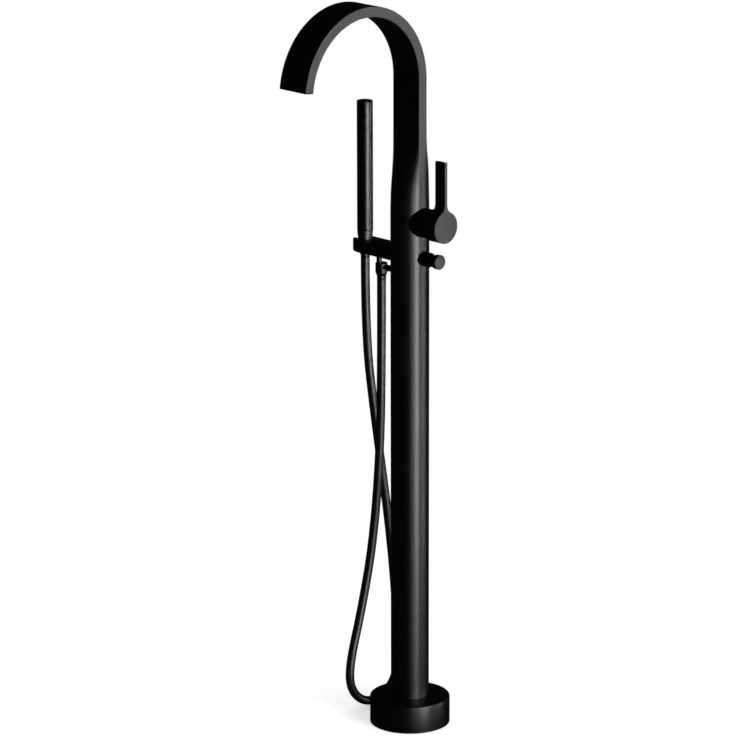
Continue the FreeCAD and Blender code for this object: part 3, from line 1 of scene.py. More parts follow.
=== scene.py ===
import json
import math
import bmesh
import bpy
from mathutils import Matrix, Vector
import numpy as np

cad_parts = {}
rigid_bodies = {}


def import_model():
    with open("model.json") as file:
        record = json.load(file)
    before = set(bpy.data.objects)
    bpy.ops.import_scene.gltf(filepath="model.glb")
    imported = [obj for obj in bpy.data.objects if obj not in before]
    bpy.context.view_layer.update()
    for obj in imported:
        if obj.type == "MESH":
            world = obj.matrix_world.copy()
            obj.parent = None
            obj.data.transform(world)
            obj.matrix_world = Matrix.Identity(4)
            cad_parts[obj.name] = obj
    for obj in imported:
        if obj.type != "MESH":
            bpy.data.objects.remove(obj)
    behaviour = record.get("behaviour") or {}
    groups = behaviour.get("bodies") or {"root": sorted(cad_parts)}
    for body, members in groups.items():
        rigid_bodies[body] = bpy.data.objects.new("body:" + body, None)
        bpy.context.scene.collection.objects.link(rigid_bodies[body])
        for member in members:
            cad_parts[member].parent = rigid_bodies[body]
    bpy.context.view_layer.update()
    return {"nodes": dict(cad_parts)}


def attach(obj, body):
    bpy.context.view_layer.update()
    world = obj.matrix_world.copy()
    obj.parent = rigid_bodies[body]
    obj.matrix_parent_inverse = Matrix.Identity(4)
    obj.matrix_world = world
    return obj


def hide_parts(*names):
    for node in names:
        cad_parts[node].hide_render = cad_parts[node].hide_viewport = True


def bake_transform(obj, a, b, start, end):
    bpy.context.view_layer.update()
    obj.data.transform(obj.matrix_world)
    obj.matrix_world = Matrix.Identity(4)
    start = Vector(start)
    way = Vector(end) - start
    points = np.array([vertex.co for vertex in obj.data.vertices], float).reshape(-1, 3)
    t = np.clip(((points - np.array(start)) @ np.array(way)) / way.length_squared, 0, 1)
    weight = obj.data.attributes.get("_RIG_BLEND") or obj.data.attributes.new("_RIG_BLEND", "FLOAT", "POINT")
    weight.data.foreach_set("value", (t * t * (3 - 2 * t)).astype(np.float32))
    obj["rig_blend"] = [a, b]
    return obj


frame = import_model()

cad = frame["nodes"]
MM = 0.001

# ---------------------------------------------------------------- floor flange
# Steel plate with a collar round the column's foot, four anchor holes, and three grub screws
# that clamp the column. Turned and zinc plated: it is under the cover and takes damp.


def linear(code):
    """An sRGB hex colour as linear red, green, blue and alpha."""
    parts = [int(code[at:at + 2], 16) / 255 for at in (1, 3, 5)]
    return [c / 12.92 if c <= 0.04045 else ((c + 0.055) / 1.055) ** 2.4 for c in parts] + [1.0]


def add(finish, kind, values=None, links=None, **settings):
    """Adds one shader node to a finish, with its settings, input values and links."""
    node = finish.node_tree.nodes.new("ShaderNode" + kind)
    for name, value in settings.items():
        setattr(node, name, value)
    for name, value in (values or {}).items():
        node.inputs[name].default_value = value
    for name, source in (links or {}).items():
        finish.node_tree.links.new(source, node.inputs[name])
    return node


def new_finish(name):
    finish = bpy.data.materials.new(name)
    finish.use_nodes = True
    finish.node_tree.nodes.clear()
    return finish


def finish_nodes(finish, *names):
    """Gives nodes of the frame a finish."""
    for name in names:
        for slot in cad[name].material_slots:
            slot.material = finish


# Zinc plate: cool grey metal, evenly dull, with soft cloudy changes in its shine.
zinc = new_finish("zinc_plated_steel")
zinc_place = add(zinc, "TexCoord")
zinc_cloud = add(zinc, "TexNoise", {"Scale": 1 / 0.018, "Detail": 3.0, "Roughness": 0.6},
                 {"Vector": zinc_place.outputs["Object"]})
zinc_tone = add(zinc, "ValToRGB", links={"Fac": zinc_cloud.outputs["Fac"]})
zinc_tone.color_ramp.elements[0].position = 0.35
zinc_tone.color_ramp.elements[0].color = linear("#9a9fa4")
zinc_tone.color_ramp.elements[1].position = 0.65
zinc_tone.color_ramp.elements[1].color = linear("#b9bdc0")
zinc_shine = add(zinc, "MapRange",
                 {"From Min": 0.3, "From Max": 0.7, "To Min": 0.3, "To Max": 0.42},
                 {"Value": zinc_cloud.outputs["Fac"]})
zinc_body = add(zinc, "BsdfPrincipled", {"Metallic": 1.0},
                {"Base Color": zinc_tone.outputs["Color"],
                 "Roughness": zinc_shine.outputs["Result"]})
add(zinc, "OutputMaterial", links={"Surface": zinc_body.outputs["BSDF"]})
finish_nodes(zinc, "floor_flange", "column_screws")

# ---------------------------------------------------------------- water supply
# Two half inch fittings at the foot, two pipes up the column, compression nuts at their upper
# ends and a plastic disc that keeps the pipes apart. Brass fittings, drawn stainless pipes.

# Turned brass: warm yellow metal with fine rings from the tool, 0.3 mm apart on the real one
# and drawn 2.4 mm apart here so that they show. A wave's bands repeat every pi / 10 of its scale.
brass = new_finish("turned_brass")
brass_ring_pitch = 0.00237
brass_place = add(brass, "TexCoord")
brass_rings = add(brass, "TexWave",
                  {"Scale": math.pi / 10 / brass_ring_pitch, "Distortion": 0.6, "Detail": 2.0},
                  {"Vector": brass_place.outputs["Object"]}, bands_direction="Z")
brass_cloud = add(brass, "TexNoise", {"Scale": 1 / 0.012, "Detail": 2.0},
                  {"Vector": brass_place.outputs["Object"]})
brass_tone = add(brass, "ValToRGB", links={"Fac": brass_cloud.outputs["Fac"]})
brass_tone.color_ramp.elements[0].position = 0.3
brass_tone.color_ramp.elements[0].color = linear("#b8924a")
brass_tone.color_ramp.elements[1].position = 0.7
brass_tone.color_ramp.elements[1].color = linear("#cfae66")
brass_bump = add(brass, "Bump", {"Strength": 0.15, "Distance": 0.00005},
                 {"Height": brass_rings.outputs["Fac"]})
brass_body = add(brass, "BsdfPrincipled", {"Metallic": 1.0, "Roughness": 0.3},
                 {"Base Color": brass_tone.outputs["Color"],
                  "Normal": brass_bump.outputs["Normal"]})
add(brass, "OutputMaterial", links={"Surface": brass_body.outputs["BSDF"]})
finish_nodes(brass, "hot_inlet", "cold_inlet", "riser_nuts")

# Drawn stainless steel: neutral bright metal, brushed lightly along its length.
stainless = new_finish("drawn_stainless_steel")
stainless_place = add(stainless, "TexCoord")
stainless_stretch = add(stainless, "Mapping", {"Scale": (1.0, 1.0, 0.02)},
                        {"Vector": stainless_place.outputs["Object"]})
stainless_lines = add(stainless, "TexNoise", {"Scale": 1 / 0.0009, "Detail": 2.0},
                      {"Vector": stainless_stretch.outputs["Vector"]})
stainless_shine = add(stainless, "MapRange", {"To Min": 0.2, "To Max": 0.36},
                      {"Value": stainless_lines.outputs["Fac"]})
stainless_body = add(stainless, "BsdfPrincipled",
                     {"Metallic": 1.0, "Base Color": linear("#c4c6c8")},
                     {"Roughness": stainless_shine.outputs["Result"]})
add(stainless, "OutputMaterial", links={"Surface": stainless_body.outputs["BSDF"]})
finish_nodes(stainless, "hot_riser", "cold_riser")

# White acetal: dense off-white plastic with the faint satin of a moulding tool.
acetal = new_finish("moulded_white_acetal")
acetal_place = add(acetal, "TexCoord")
acetal_grain = add(acetal, "TexNoise", {"Scale": 1 / 0.0011, "Detail": 2.0},
                   {"Vector": acetal_place.outputs["Object"]})
acetal_bump = add(acetal, "Bump", {"Strength": 0.1, "Distance": 0.00006},
                  {"Height": acetal_grain.outputs["Fac"]})
acetal_tone = add(acetal, "ValToRGB", links={"Fac": acetal_grain.outputs["Fac"]})
acetal_tone.color_ramp.elements[0].color = linear("#dcdad2")
acetal_tone.color_ramp.elements[1].color = linear("#efede6")
acetal_body = add(acetal, "BsdfPrincipled", {"Roughness": 0.42, "IOR": 1.48},
                  {"Base Color": acetal_tone.outputs["Color"],
                   "Normal": acetal_bump.outputs["Normal"]})
add(acetal, "OutputMaterial", links={"Surface": acetal_body.outputs["BSDF"]})
finish_nodes(acetal, "riser_clip")

# ---------------------------------------------------------------- valve body
# Brass manifold inside the column: mixer boss, diverter boss and hose outlet, with drilled ways
# between them. Cast and machined. A plastic ring centres it in the tube.
finish_nodes(brass, "valve_body")
finish_nodes(acetal, "valve_ring")

# ---------------------------------------------------------------- column and spout
# One welded steel tube: round from the floor, pressed flat above the lever, and bent over the
# bath as a flat strip. The welds are ground away, so no seam shows under the coating.

column_radius, column_wall = 30.0, 1.5
column_foot, column_height, neck_length = 10.0, 825.0, 165.0
strip_width, strip_depth, strip_wall = 56.6, 16.2, 2.0
strip_edge, strip_inner_edge = 0.8, 0.4
arch_radius, arch_centre, arch_sweep = 118.8, 1040.0, 174.0
mixer_height, diverter_height, outlet_height = 816.4, 760.0, 731.0
# The sharp edges at the foot and the mouth are broken by this much.
broken_edge = 0.25

# Powder coat on steel: deep satin black. The powder leaves a fine orange peel, about 1 mm from
# crest to crest, and slow changes in its gloss. It gives a broad soft light along the round
# column and hardly any colour of its own.
coat = new_finish("powder_coated_steel")
coat_place = add(coat, "TexCoord")
coat_peel = add(coat, "TexNoise", {"Scale": 1 / 0.0012, "Detail": 2.0, "Roughness": 0.5},
                {"Vector": coat_place.outputs["Object"]})
coat_cloud = add(coat, "TexNoise", {"Scale": 1 / 0.05, "Detail": 2.0},
                 {"Vector": coat_place.outputs["Object"]})
coat_tone = add(coat, "ValToRGB", links={"Fac": coat_peel.outputs["Fac"]})
coat_tone.color_ramp.elements[0].position = 0.3
coat_tone.color_ramp.elements[0].color = linear("#020202")
coat_tone.color_ramp.elements[1].position = 0.7
coat_tone.color_ramp.elements[1].color = linear("#050505")
coat_shine = add(coat, "MapRange",
                 {"From Min": 0.35, "From Max": 0.65, "To Min": 0.29, "To Max": 0.32},
                 {"Value": coat_cloud.outputs["Fac"]})
coat_bump = add(coat, "Bump", {"Strength": 0.08, "Distance": 0.00008},
                {"Height": coat_peel.outputs["Fac"]})
coat_body = add(coat, "BsdfPrincipled", {"IOR": 1.5},
                {"Base Color": coat_tone.outputs["Color"],
                 "Roughness": coat_shine.outputs["Result"],
                 "Normal": coat_bump.outputs["Normal"]})
add(coat, "OutputMaterial", links={"Surface": coat_body.outputs["BSDF"]})


def new_piece(name, points, faces, finish, smooth=35):
    """A mesh piece from points in millimetres: soft between faces that meet at less than the
    angle smooth, sharp elsewhere."""
    mesh = bpy.data.meshes.new(name)
    mesh.from_pydata([Vector(p) * MM for p in points], [], faces)
    build = bmesh.new()
    build.from_mesh(mesh)
    bmesh.ops.remove_doubles(build, verts=build.verts, dist=1e-6)
    bmesh.ops.recalc_face_normals(build, faces=build.faces)
    build.to_mesh(mesh)
    build.free()
    mesh.shade_smooth()
    mesh.set_sharp_from_angle(angle=math.radians(smooth))
    mesh.materials.append(finish)
    piece = bpy.data.objects.new(name, mesh)
    bpy.context.scene.collection.objects.link(piece)
    return piece


def cut_out(piece, *tools, smooth=35):
    """Takes the tools away from a piece and keeps the result as its mesh."""
    for tool in tools:
        cutting = piece.modifiers.new("cut", "BOOLEAN")
        cutting.operation = "DIFFERENCE"
        cutting.solver = "EXACT"
        cutting.object = tool
    bpy.context.view_layer.update()
    shape = bpy.data.meshes.new_from_object(
        piece.evaluated_get(bpy.context.evaluated_depsgraph_get()))
    piece.modifiers.clear()
    finish = piece.data.materials[0]
    piece.data = shape
    shape.name = piece.name
    shape.materials.clear()
    shape.materials.append(finish)
    for face in shape.polygons:
        face.material_index = 0
    shape.shade_smooth()
    shape.set_sharp_from_angle(angle=math.radians(smooth))
    for tool in tools:
        bpy.data.objects.remove(tool)


def on_body(piece, body, slot, *replaced):
    """Attaches the piece to the body that it moves with and hides the nodes that it stands for. The slot
    argument is not used.
    """
    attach(piece, body)
    if replaced:
        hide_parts(*replaced)


def faces_between(rings, around, closed=False, first=0):
    """Four-sided faces from each ring of points to the next, and from the last to the first
    where the rings close."""
    faces = []
    for ring in range(rings if closed else rings - 1):
        here, onward = first + ring * around, first + (ring + 1) % rings * around
        for i in range(around):
            j = (i + 1) % around
            faces.append((here + i, here + j, onward + j, onward + i))
    return faces


def spin(name, outline, finish, axis="up", at=(0, 0, 0), steps=96, smooth=35):
    """Turns a closed outline of (radius, along) corners in millimetres about an axis. A third
    number at a corner rounds it to that radius."""
    line = []
    for here in range(len(outline)):
        corner = Vector(outline[here][:2])
        ease = outline[here][2] if len(outline[here]) > 2 else 0
        if not ease:
            line.append(corner)
            continue
        back = (Vector(outline[here - 1][:2]) - corner).normalized()
        on = (Vector(outline[(here + 1) % len(outline)][:2]) - corner).normalized()
        half = back.angle(on) / 2
        centre = corner + (back + on).normalized() * ease / math.sin(half)
        first = corner + back * ease / math.tan(half) - centre
        last = corner + on * ease / math.tan(half) - centre
        parts = 6
        for part in range(parts + 1):
            # The turned direction comes back with a length of 1.
            line.append(centre + first.slerp(last, part / parts) * ease)
    points = []
    for step in range(steps):
        turn = 2 * math.pi * step / steps
        for radius, along in line:
            a, b = radius * math.cos(turn), radius * math.sin(turn)
            place = {"up": (a, b, along), "right": (along, a, b), "left": (-along, a, b)}[axis]
            points.append([place[i] + at[i] for i in range(3)])
    piece = new_piece(name, points, faces_between(steps, len(line), closed=True), finish, smooth)
    build = bmesh.new()
    build.from_mesh(piece.data)
    bmesh.ops.dissolve_degenerate(build, dist=1e-7, edges=build.edges)
    # An outline that runs along the axis folds into a line there.
    on_axis = [edge for edge in build.edges if len(edge.link_faces) > 2]
    if on_axis:
        bmesh.ops.delete(build, geom=on_axis, context="EDGES")
    build.to_mesh(piece.data)
    build.free()
    return piece


def rod(name, radius, start, length, axis, at, steps=64):
    """A plain round tool for cutting holes."""
    return spin(name, ((0, start), (radius, start), (radius, start + length), (0, start + length)),
                coat, axis, at, steps)


# Steps round one quarter of a section: along its side, round its corner and along its front. On
# the round tube the same points lie on the circle.
SIDE_STEPS, CORNER_STEPS, FRONT_STEPS = 8, 8, 16
CORNER_TURN = math.radians(1.0)


def quarter(radius, wide, deep, edge, side_ease, corner_ease, face_ease):
    """A quarter of a section: on the circle while the eases are 0, on the flat strip at 1."""
    corner = math.acos(min(1.0, wide / radius))
    shoulder = radius * math.sin(corner - CORNER_TURN)
    spread = math.pi / 2 - corner - CORNER_TURN
    pairs = []
    for i in range(SIDE_STEPS):
        up = shoulder * i / SIDE_STEPS
        pairs.append(((math.sqrt(radius ** 2 - up ** 2), up),
                      (wide, (deep - edge) * i / SIDE_STEPS)))
    for i in range(CORNER_STEPS):
        at = corner + CORNER_TURN * (2 * i / CORNER_STEPS - 1)
        turn = math.pi / 2 * i / CORNER_STEPS
        pairs.append(((radius * math.cos(at), radius * math.sin(at)),
                      (wide - edge + edge * math.cos(turn), deep - edge + edge * math.sin(turn))))
    for i in range(FRONT_STEPS + 1):
        at = corner + CORNER_TURN + spread * i / FRONT_STEPS
        out = math.cos(at) / math.cos(corner + CORNER_TURN)
        pairs.append(((radius * math.cos(at), radius * math.sin(at)),
                      ((wide - edge) * out, deep)))
    points = []
    for circle, flat in pairs:
        bulge = max(0.0, circle[1] - shoulder)
        seat = circle[1] - bulge
        points.append((circle[0] + (flat[0] - circle[0]) * side_ease,
                       seat + (flat[1] - seat) * corner_ease + bulge * (1 - face_ease)))
    return points + [(-x, y) for x, y in reversed(points[1:-1])]


def section(radius, wide, deep, edge, side_ease=1, corner_ease=1, front_ease=1, back_ease=1):
    """One row of the tube: its back half, then its front half."""
    back = quarter(radius, wide, deep, edge, side_ease, corner_ease, back_ease)
    front = quarter(radius, wide, deep, edge, side_ease, corner_ease, front_ease)
    return back + [(-x, -y) for x, y in front]


def eased(height, low, high):
    """0 up to the low height, 1 from the high one, and a soft change between them."""
    part = min(1.0, max(0.0, (height - low) / (high - low)))
    return part * part * (3 - 2 * part)


# Heights between which the press turns the round tube into the strip: its sides draw in, its
# corners form low down, then the front flattens, and the back a little higher up.
sides_pressed, corners_pressed = (830, 985), (825, 895)
front_pressed, back_pressed = (850, 985), (880, 1003)
NECK_ROWS, ARCH_ROWS = 60, 116


def bend_point(x, y, turn):
    """A point of a section after the strip has turned by this angle round the arch."""
    return (x, -arch_radius + (arch_radius + y) * math.cos(turn),
            arch_centre + (arch_radius + y) * math.sin(turn))


def column_line(inner):
    """Rows of the tube's outside or inside, from the foot to the mouth."""
    if inner:
        shape = (column_radius - column_wall, strip_width / 2 - strip_wall,
                 strip_depth / 2 - strip_wall, strip_inner_edge)
    else:
        shape = (column_radius, strip_width / 2, strip_depth / 2, strip_edge)
    heights = [column_foot + broken_edge] + list(range(12, 813, 8)) + [column_height]
    heights += [column_height + neck_length * i / NECK_ROWS for i in range(1, NECK_ROWS + 1)]
    heights += [1000, 1010, 1020, 1030]
    line = []
    for height in heights:
        eases = [eased(height, *span)
                 for span in (sides_pressed, corners_pressed, front_pressed, back_pressed)]
        line.append([(x, y, height) for x, y in section(*shape, *eases)])
    last_bend = arch_sweep - math.degrees(broken_edge / arch_radius)
    for bend in range(ARCH_ROWS + 1):
        turn = math.radians(last_bend * bend / ARCH_ROWS)
        line.append([bend_point(x, y, turn) for x, y in section(*shape)])
    return line


# The outside and the inside are joined by a rim at the mouth and by one at the foot.
mouth_turn = math.radians(arch_sweep)
mouth_rim = []
for wall in (broken_edge, strip_wall - broken_edge):
    ring = section(column_radius, strip_width / 2 - wall, strip_depth / 2 - wall,
                   max(strip_edge - wall, strip_inner_edge))
    mouth_rim.append([bend_point(x, y, mouth_turn) for x, y in ring])
foot_rim = []
for wall in (column_wall - broken_edge, broken_edge):
    ring = section(column_radius - wall, strip_width / 2 - wall, strip_depth / 2, strip_edge,
                   side_ease=0, corner_ease=0, front_ease=0, back_ease=0)
    foot_rim.append([(x, y, column_foot) for x, y in ring])
skin_rows = column_line(inner=False) + mouth_rim + column_line(inner=True)[::-1] + foot_rim
skin_points = [point for row in skin_rows for point in row]
skin_faces = faces_between(len(skin_rows), len(skin_rows[0]), closed=True)
column_skin = new_piece("column_skin", skin_points, skin_faces, coat, smooth=50)
cut_out(
    column_skin,
    rod("mixer_hole", 21.8, 0, 32, "right", (0, 0, mixer_height)),
    rod("diverter_hole", 10.3, 0, 32, "right", (0, 0, diverter_height)),
    rod("outlet_hole", 5.3, 0, 32, "left", (0, 0, outlet_height)),
    rod("arm_hole", 3.05, 0, 32, "left", (0, 0, diverter_height)),
    smooth=50)
on_body(column_skin, "column", "black_coated_steel", "column_tube", "column_neck", "spout_arch")

# ---------------------------------------------------------------- spout's waterway and outlet
# A flexible plastic pipe carries the water up the column and round the bend. It ends at a
# moulded insert, a flat slot that spreads the water into a sheet. The insert is pushed in.
finish_nodes(acetal, "spout_waterway")

# Black ABS: a little paler and duller than the coating, with the fine grain of its mould.
abs_black = new_finish("moulded_black_abs")
abs_place = add(abs_black, "TexCoord")
abs_grain = add(abs_black, "TexNoise", {"Scale": 1 / 0.0008, "Detail": 2.0},
                {"Vector": abs_place.outputs["Object"]})
abs_tone = add(abs_black, "ValToRGB", links={"Fac": abs_grain.outputs["Fac"]})
abs_tone.color_ramp.elements[0].color = linear("#0a0a0a")
abs_tone.color_ramp.elements[1].color = linear("#121212")
abs_bump = add(abs_black, "Bump", {"Strength": 0.12, "Distance": 0.00006},
               {"Height": abs_grain.outputs["Fac"]})
abs_body = add(abs_black, "BsdfPrincipled", {"Roughness": 0.5, "IOR": 1.53},
               {"Base Color": abs_tone.outputs["Color"], "Normal": abs_bump.outputs["Normal"]})
add(abs_black, "OutputMaterial", links={"Surface": abs_body.outputs["BSDF"]})
finish_nodes(abs_black, "spout_outlet")

# ---------------------------------------------------------------- base cover
# Spun steel cover that drops over the flange, with a rounded edge and a hub that carries a
# rubber sealing ring against the column. Its top falls 2 mm from the hub to the edge, so that
# water runs off. Coated like the column.
base_cover = spin("base_cover_shell", (
    (63, 0.3, 0.4), (63, 44, 3), (36, 46), (30.35, 46, 0.5), (30.35, 44.95), (32.55, 44.95),
    (32.55, 42.55), (30.35, 42.55), (30.35, 41.5, 0.3), (36, 41.5), (36, 43), (60, 41, 0.5),
    (60, 0.3, 0.4),
), coat, steps=160)
on_body(base_cover, "cover", "black_coated_steel", "base_cover")

# Nitrile rubber: near black and dull, slightly mottled by talc.
rubber = new_finish("nitrile_rubber")
rubber_place = add(rubber, "TexCoord")
rubber_dust = add(rubber, "TexNoise", {"Scale": 1 / 0.003, "Detail": 4.0},
                  {"Vector": rubber_place.outputs["Object"]})
rubber_tone = add(rubber, "ValToRGB", links={"Fac": rubber_dust.outputs["Fac"]})
rubber_tone.color_ramp.elements[0].color = linear("#0d0d0d")
rubber_tone.color_ramp.elements[1].color = linear("#1b1b1a")
rubber_body = add(rubber, "BsdfPrincipled", {"Roughness": 0.68, "IOR": 1.52},
                  {"Base Color": rubber_tone.outputs["Color"]})
add(rubber, "OutputMaterial", links={"Surface": rubber_body.outputs["BSDF"]})
finish_nodes(rubber, "cover_seal")

# ---------------------------------------------------------------- mixer
# Ceramic disc cartridge in the brass boss, held by a threaded nut that also clamps the fixed
# sleeve to the column. The turret turns in the cartridge and carries the stem on a pin.
finish_nodes(acetal, "cartridge", "cartridge_turret")
finish_nodes(rubber, "cartridge_seals")
finish_nodes(brass, "retaining_nut", "cartridge_stem")
finish_nodes(stainless, "stem_pin")


def follow_column(piece, inner_end):
    """Lets the inner end of a sideways piece follow the round column that it stands on, and sink
    into its coating a little."""
    sunk = 0.02
    for point in piece.data.vertices:
        if abs(point.co.x) / MM < inner_end + 0.5:
            out = math.sqrt(max(0.0, column_radius ** 2 - (point.co.y / MM) ** 2)) - sunk
            point.co.x = math.copysign(out * MM, point.co.x)
    piece.data.update()


# Turned steel sleeve between column and lever, coated, with its outer edge just broken.
sleeve = spin("mixer_sleeve_ring", (
    (21.8, 10), (23.1, 10), (23.1, 47, 0.3), (21.8, 47, 0.2), (21.8, 45.5), (19.55, 45.5),
    (19.55, 44), (21.8, 44),
), coat, "right", (0, 0, mixer_height), steps=120)
follow_column(sleeve, 10)
on_body(sleeve, "column", "black_coated_steel", "mixer_sleeve")

# ---------------------------------------------------------------- lever
# Milled from one piece: a hollow round hub and a thin upright blade that grows out of it in two
# hollow curves. Coated. A small grub screw from below clamps it to the cartridge's stem.

# Seen from the front: hub radius, half the blade's thickness, radius of the hollow curves, and
# the blade's top above the hub's axis.
hub, blade_half, blend, blade_top = 24.6, 2.65, 16.0, 101.5
# From the column's axis: the hub's open rim, the blade's back, and the front face of both.
hub_rim, blade_back, hub_face = 49.0, 57.3, 78.0
hub_floor, hub_bore = 60.0, 23.1
socket_radius, socket_depth = 3.55, 9.3
face_edge, rim_edge = 0.8, 0.3
# The hollow curves' centres are this high above the axis and meet the hub at this angle.
rise = math.sqrt((hub + blend) ** 2 - (blade_half + blend) ** 2)
meet = math.atan2(rise, blade_half + blend)

LOWER_STEPS, BLEND_STEPS, UPPER_STEPS = 84, 16, 20
lower_arc = [(-math.pi - meet) + (math.pi + 2 * meet) * i / LOWER_STEPS
             for i in range(LOWER_STEPS + 1)]
lower = [(hub * math.cos(t), hub * math.sin(t)) for t in lower_arc]
right_side = []
for i in range(1, BLEND_STEPS + 1):
    t = math.pi + meet - meet * i / BLEND_STEPS
    right_side.append((blade_half + blend + blend * math.cos(t), rise + blend * math.sin(t)))
left_side = [(-y, z) for y, z in reversed(right_side)]
outline = lower + right_side + [(blade_half, blade_top), (-blade_half, blade_top)] + left_side
upper_arc = [meet + (math.pi - 2 * meet) * i / UPPER_STEPS for i in range(1, UPPER_STEPS)]
upper = [(hub * math.cos(t), hub * math.sin(t)) for t in upper_arc]

build = bmesh.new()


def ring_of(points, x):
    """Adds a ring of points at this distance from the column's axis."""
    return [build.verts.new((x * MM, y * MM, (z + mixer_height) * MM)) for y, z in points]


def band(one, two):
    """Joins two rings with faces."""
    for i in range(len(one)):
        j = (i + 1) % len(one)
        build.faces.new((one[i], one[j], two[j], two[i]))


lever_front = ring_of(outline, hub_face)
lever_back = ring_of(outline, blade_back)
lever_top_arc = ring_of(upper, blade_back)
build.faces.new(lever_front)
band(lever_front, lever_back)
count = len(lower)
build.faces.new(
    [lever_back[count - 1]] + lever_back[count:] + [lever_back[0]] + lever_top_arc[::-1])
hub_ring = lever_back[:count] + lever_top_arc
hub_circle = [(v.co.y / MM, v.co.z / MM - mixer_height) for v in hub_ring]
bore_circle = [(y * hub_bore / hub, z * hub_bore / hub) for y, z in hub_circle]
socket_circle = [(y * socket_radius / hub, z * socket_radius / hub) for y, z in hub_circle]
rim_out = ring_of(hub_circle, hub_rim)
hub_rings = [hub_ring, rim_out, ring_of(bore_circle, hub_rim), ring_of(bore_circle, hub_floor),
             ring_of(socket_circle, hub_floor), ring_of(socket_circle, hub_floor + socket_depth)]
for one, two in zip(hub_rings, hub_rings[1:]):
    band(one, two)
build.faces.new(hub_rings[-1])
bmesh.ops.recalc_face_normals(build, faces=build.faces)


def is_eased(edge):
    """True for the edges of the front face, of the blade's top and of the blade's back."""
    in_front = all(abs(v.co.x - hub_face * MM) < 1e-7 for v in edge.verts)
    at_top = [v.co.z > (mixer_height + blade_top - 0.01) * MM for v in edge.verts]
    at_back = [abs(v.co.x - blade_back * MM) < 1e-7 for v in edge.verts]
    on_blade = any(v.co.z > (mixer_height + rise - 1) * MM for v in edge.verts)
    return in_front or all(at_top) or (all(map(max, at_top, at_back)) and on_blade)


bmesh.ops.bevel(build, geom=[edge for edge in build.edges if is_eased(edge)],
                offset=face_edge * MM, segments=4, profile=0.5, affect="EDGES",
                clamp_overlap=True)
rim_edges = [edge for edge in build.edges if all(v in rim_out for v in edge.verts)]
bmesh.ops.bevel(build, geom=rim_edges, offset=rim_edge * MM, segments=2, profile=0.5,
                affect="EDGES")
lever_mesh = bpy.data.meshes.new("lever_body")
build.to_mesh(lever_mesh)
build.free()
lever_mesh.materials.append(coat)
lever = bpy.data.objects.new("lever_body", lever_mesh)
bpy.context.scene.collection.objects.link(lever)
cut_out(lever, rod("lever_screw_hole", 2.05, mixer_height - 30, 29, "up", (65, 0, 0), 32),
        smooth=30)
on_body(lever, "lever", "black_coated_steel", "lever_handle")
finish_nodes(zinc, "lever_grub_screw")

# ---------------------------------------------------------------- diverter
# Round pull knob in a short rosette below the mixer. A spindle with a return spring slides in a
# brass guide that is screwed into the valve. Rosette and knob are turned and coated.
rosette = spin("diverter_rosette_ring", (
    (10.3, 10), (11.3, 10), (11.3, 45, 0.4), (3.3, 45, 0.2), (3.3, 43), (10.3, 43),
), coat, "right", (0, 0, diverter_height), steps=96)
follow_column(rosette, 10)
on_body(rosette, "column", "black_coated_steel", "diverter_rosette")
knob = spin("diverter_pull_knob", (
    (3, 46), (9.4, 46, 0.3), (9.4, 57, 0.2), (11.3, 57, 0.8), (11.3, 66, 0.8), (9.1, 66, 0.15),
    (8.9, 65.7, 0.1), (8.5, 65.7, 0.1), (8.3, 66, 0.15), (0, 66), (0, 62), (3, 62),
), coat, "right", (0, 0, diverter_height), steps=96)
on_body(knob, "diverter", "black_coated_steel", "diverter_knob")
finish_nodes(brass, "diverter_cartridge")
finish_nodes(stainless, "diverter_spindle", "diverter_spring")

# ---------------------------------------------------------------- hand shower holder
# Flat arm with a round end, milled and coated, bolted from inside the column. Its conical seat
# has a plastic liner and a slot that lets the hose in. A post ties it to the outlet below.
arm_reach, arm_half, arm_low, arm_high = 98.5, 19.0, 750.0, 770.0
arm_root, arm_ease, arm_seat_gap = 10.0, 2.5, 1.8
handset_radius, cone_taper, seam_height = 12.5, 0.0893, 784.0
slot_half, slot_reach = 7.8, 40.0
ARM_END_STEPS, ARM_EASE_STEPS = 48, 6


def arm_outline(half):
    """The arm seen from above, with this half width: straight sides and a round end."""
    points = [(-arm_root, -half), (-arm_root, half)]
    for i in range(ARM_END_STEPS + 1):
        t = math.pi / 2 + math.pi * i / ARM_END_STEPS
        points.append((-arm_reach + half * math.cos(t), half * math.sin(t)))
    return points


def closed_ends(rings, around, first=0):
    """The two flat faces that close a row of rings."""
    last = first + (rings - 1) * around
    return [tuple(range(first, first + around)), tuple(range(last, last + around))]


arm_rows = []
for i in range(ARM_EASE_STEPS + 1):
    t = math.pi / 2 * i / ARM_EASE_STEPS
    arm_rows.append((arm_half - arm_ease * (1 - math.sin(t)),
                     arm_low + arm_ease * (1 - math.cos(t))))
arm_rows += [(half, arm_low + arm_high - z) for half, z in reversed(arm_rows)]
arm_points = [(x, y, z) for half, z in arm_rows for x, y in arm_outline(half)]
arm_around = len(arm_outline(arm_half))
arm_faces = faces_between(len(arm_rows), arm_around) + closed_ends(len(arm_rows), arm_around)
arm = new_piece("holder_arm_body", arm_points, arm_faces, coat, smooth=30)


def seat_radius(z, extra):
    """The radius of the hose nut's cone at a height, and a little more."""
    return handset_radius - cone_taper * (seam_height - z) + extra


def block(name, low, high):
    """A plain box between two corners, for cutting."""
    corners = [(x, y, z) for x in (low[0], high[0]) for y in (low[1], high[1])
               for z in (low[2], high[2])]
    sides = [(0, 1, 3, 2), (4, 6, 7, 5), (0, 4, 5, 1), (2, 3, 7, 6), (0, 2, 6, 4), (1, 5, 7, 3)]
    return new_piece(name, corners, sides, coat)


def hose_slot(name):
    """The slot that lets the hose into the cone seat from the side."""
    return block(name, (-arm_reach - slot_reach, -slot_half, arm_low - 1),
                 (-arm_reach, slot_half, arm_high + 1))


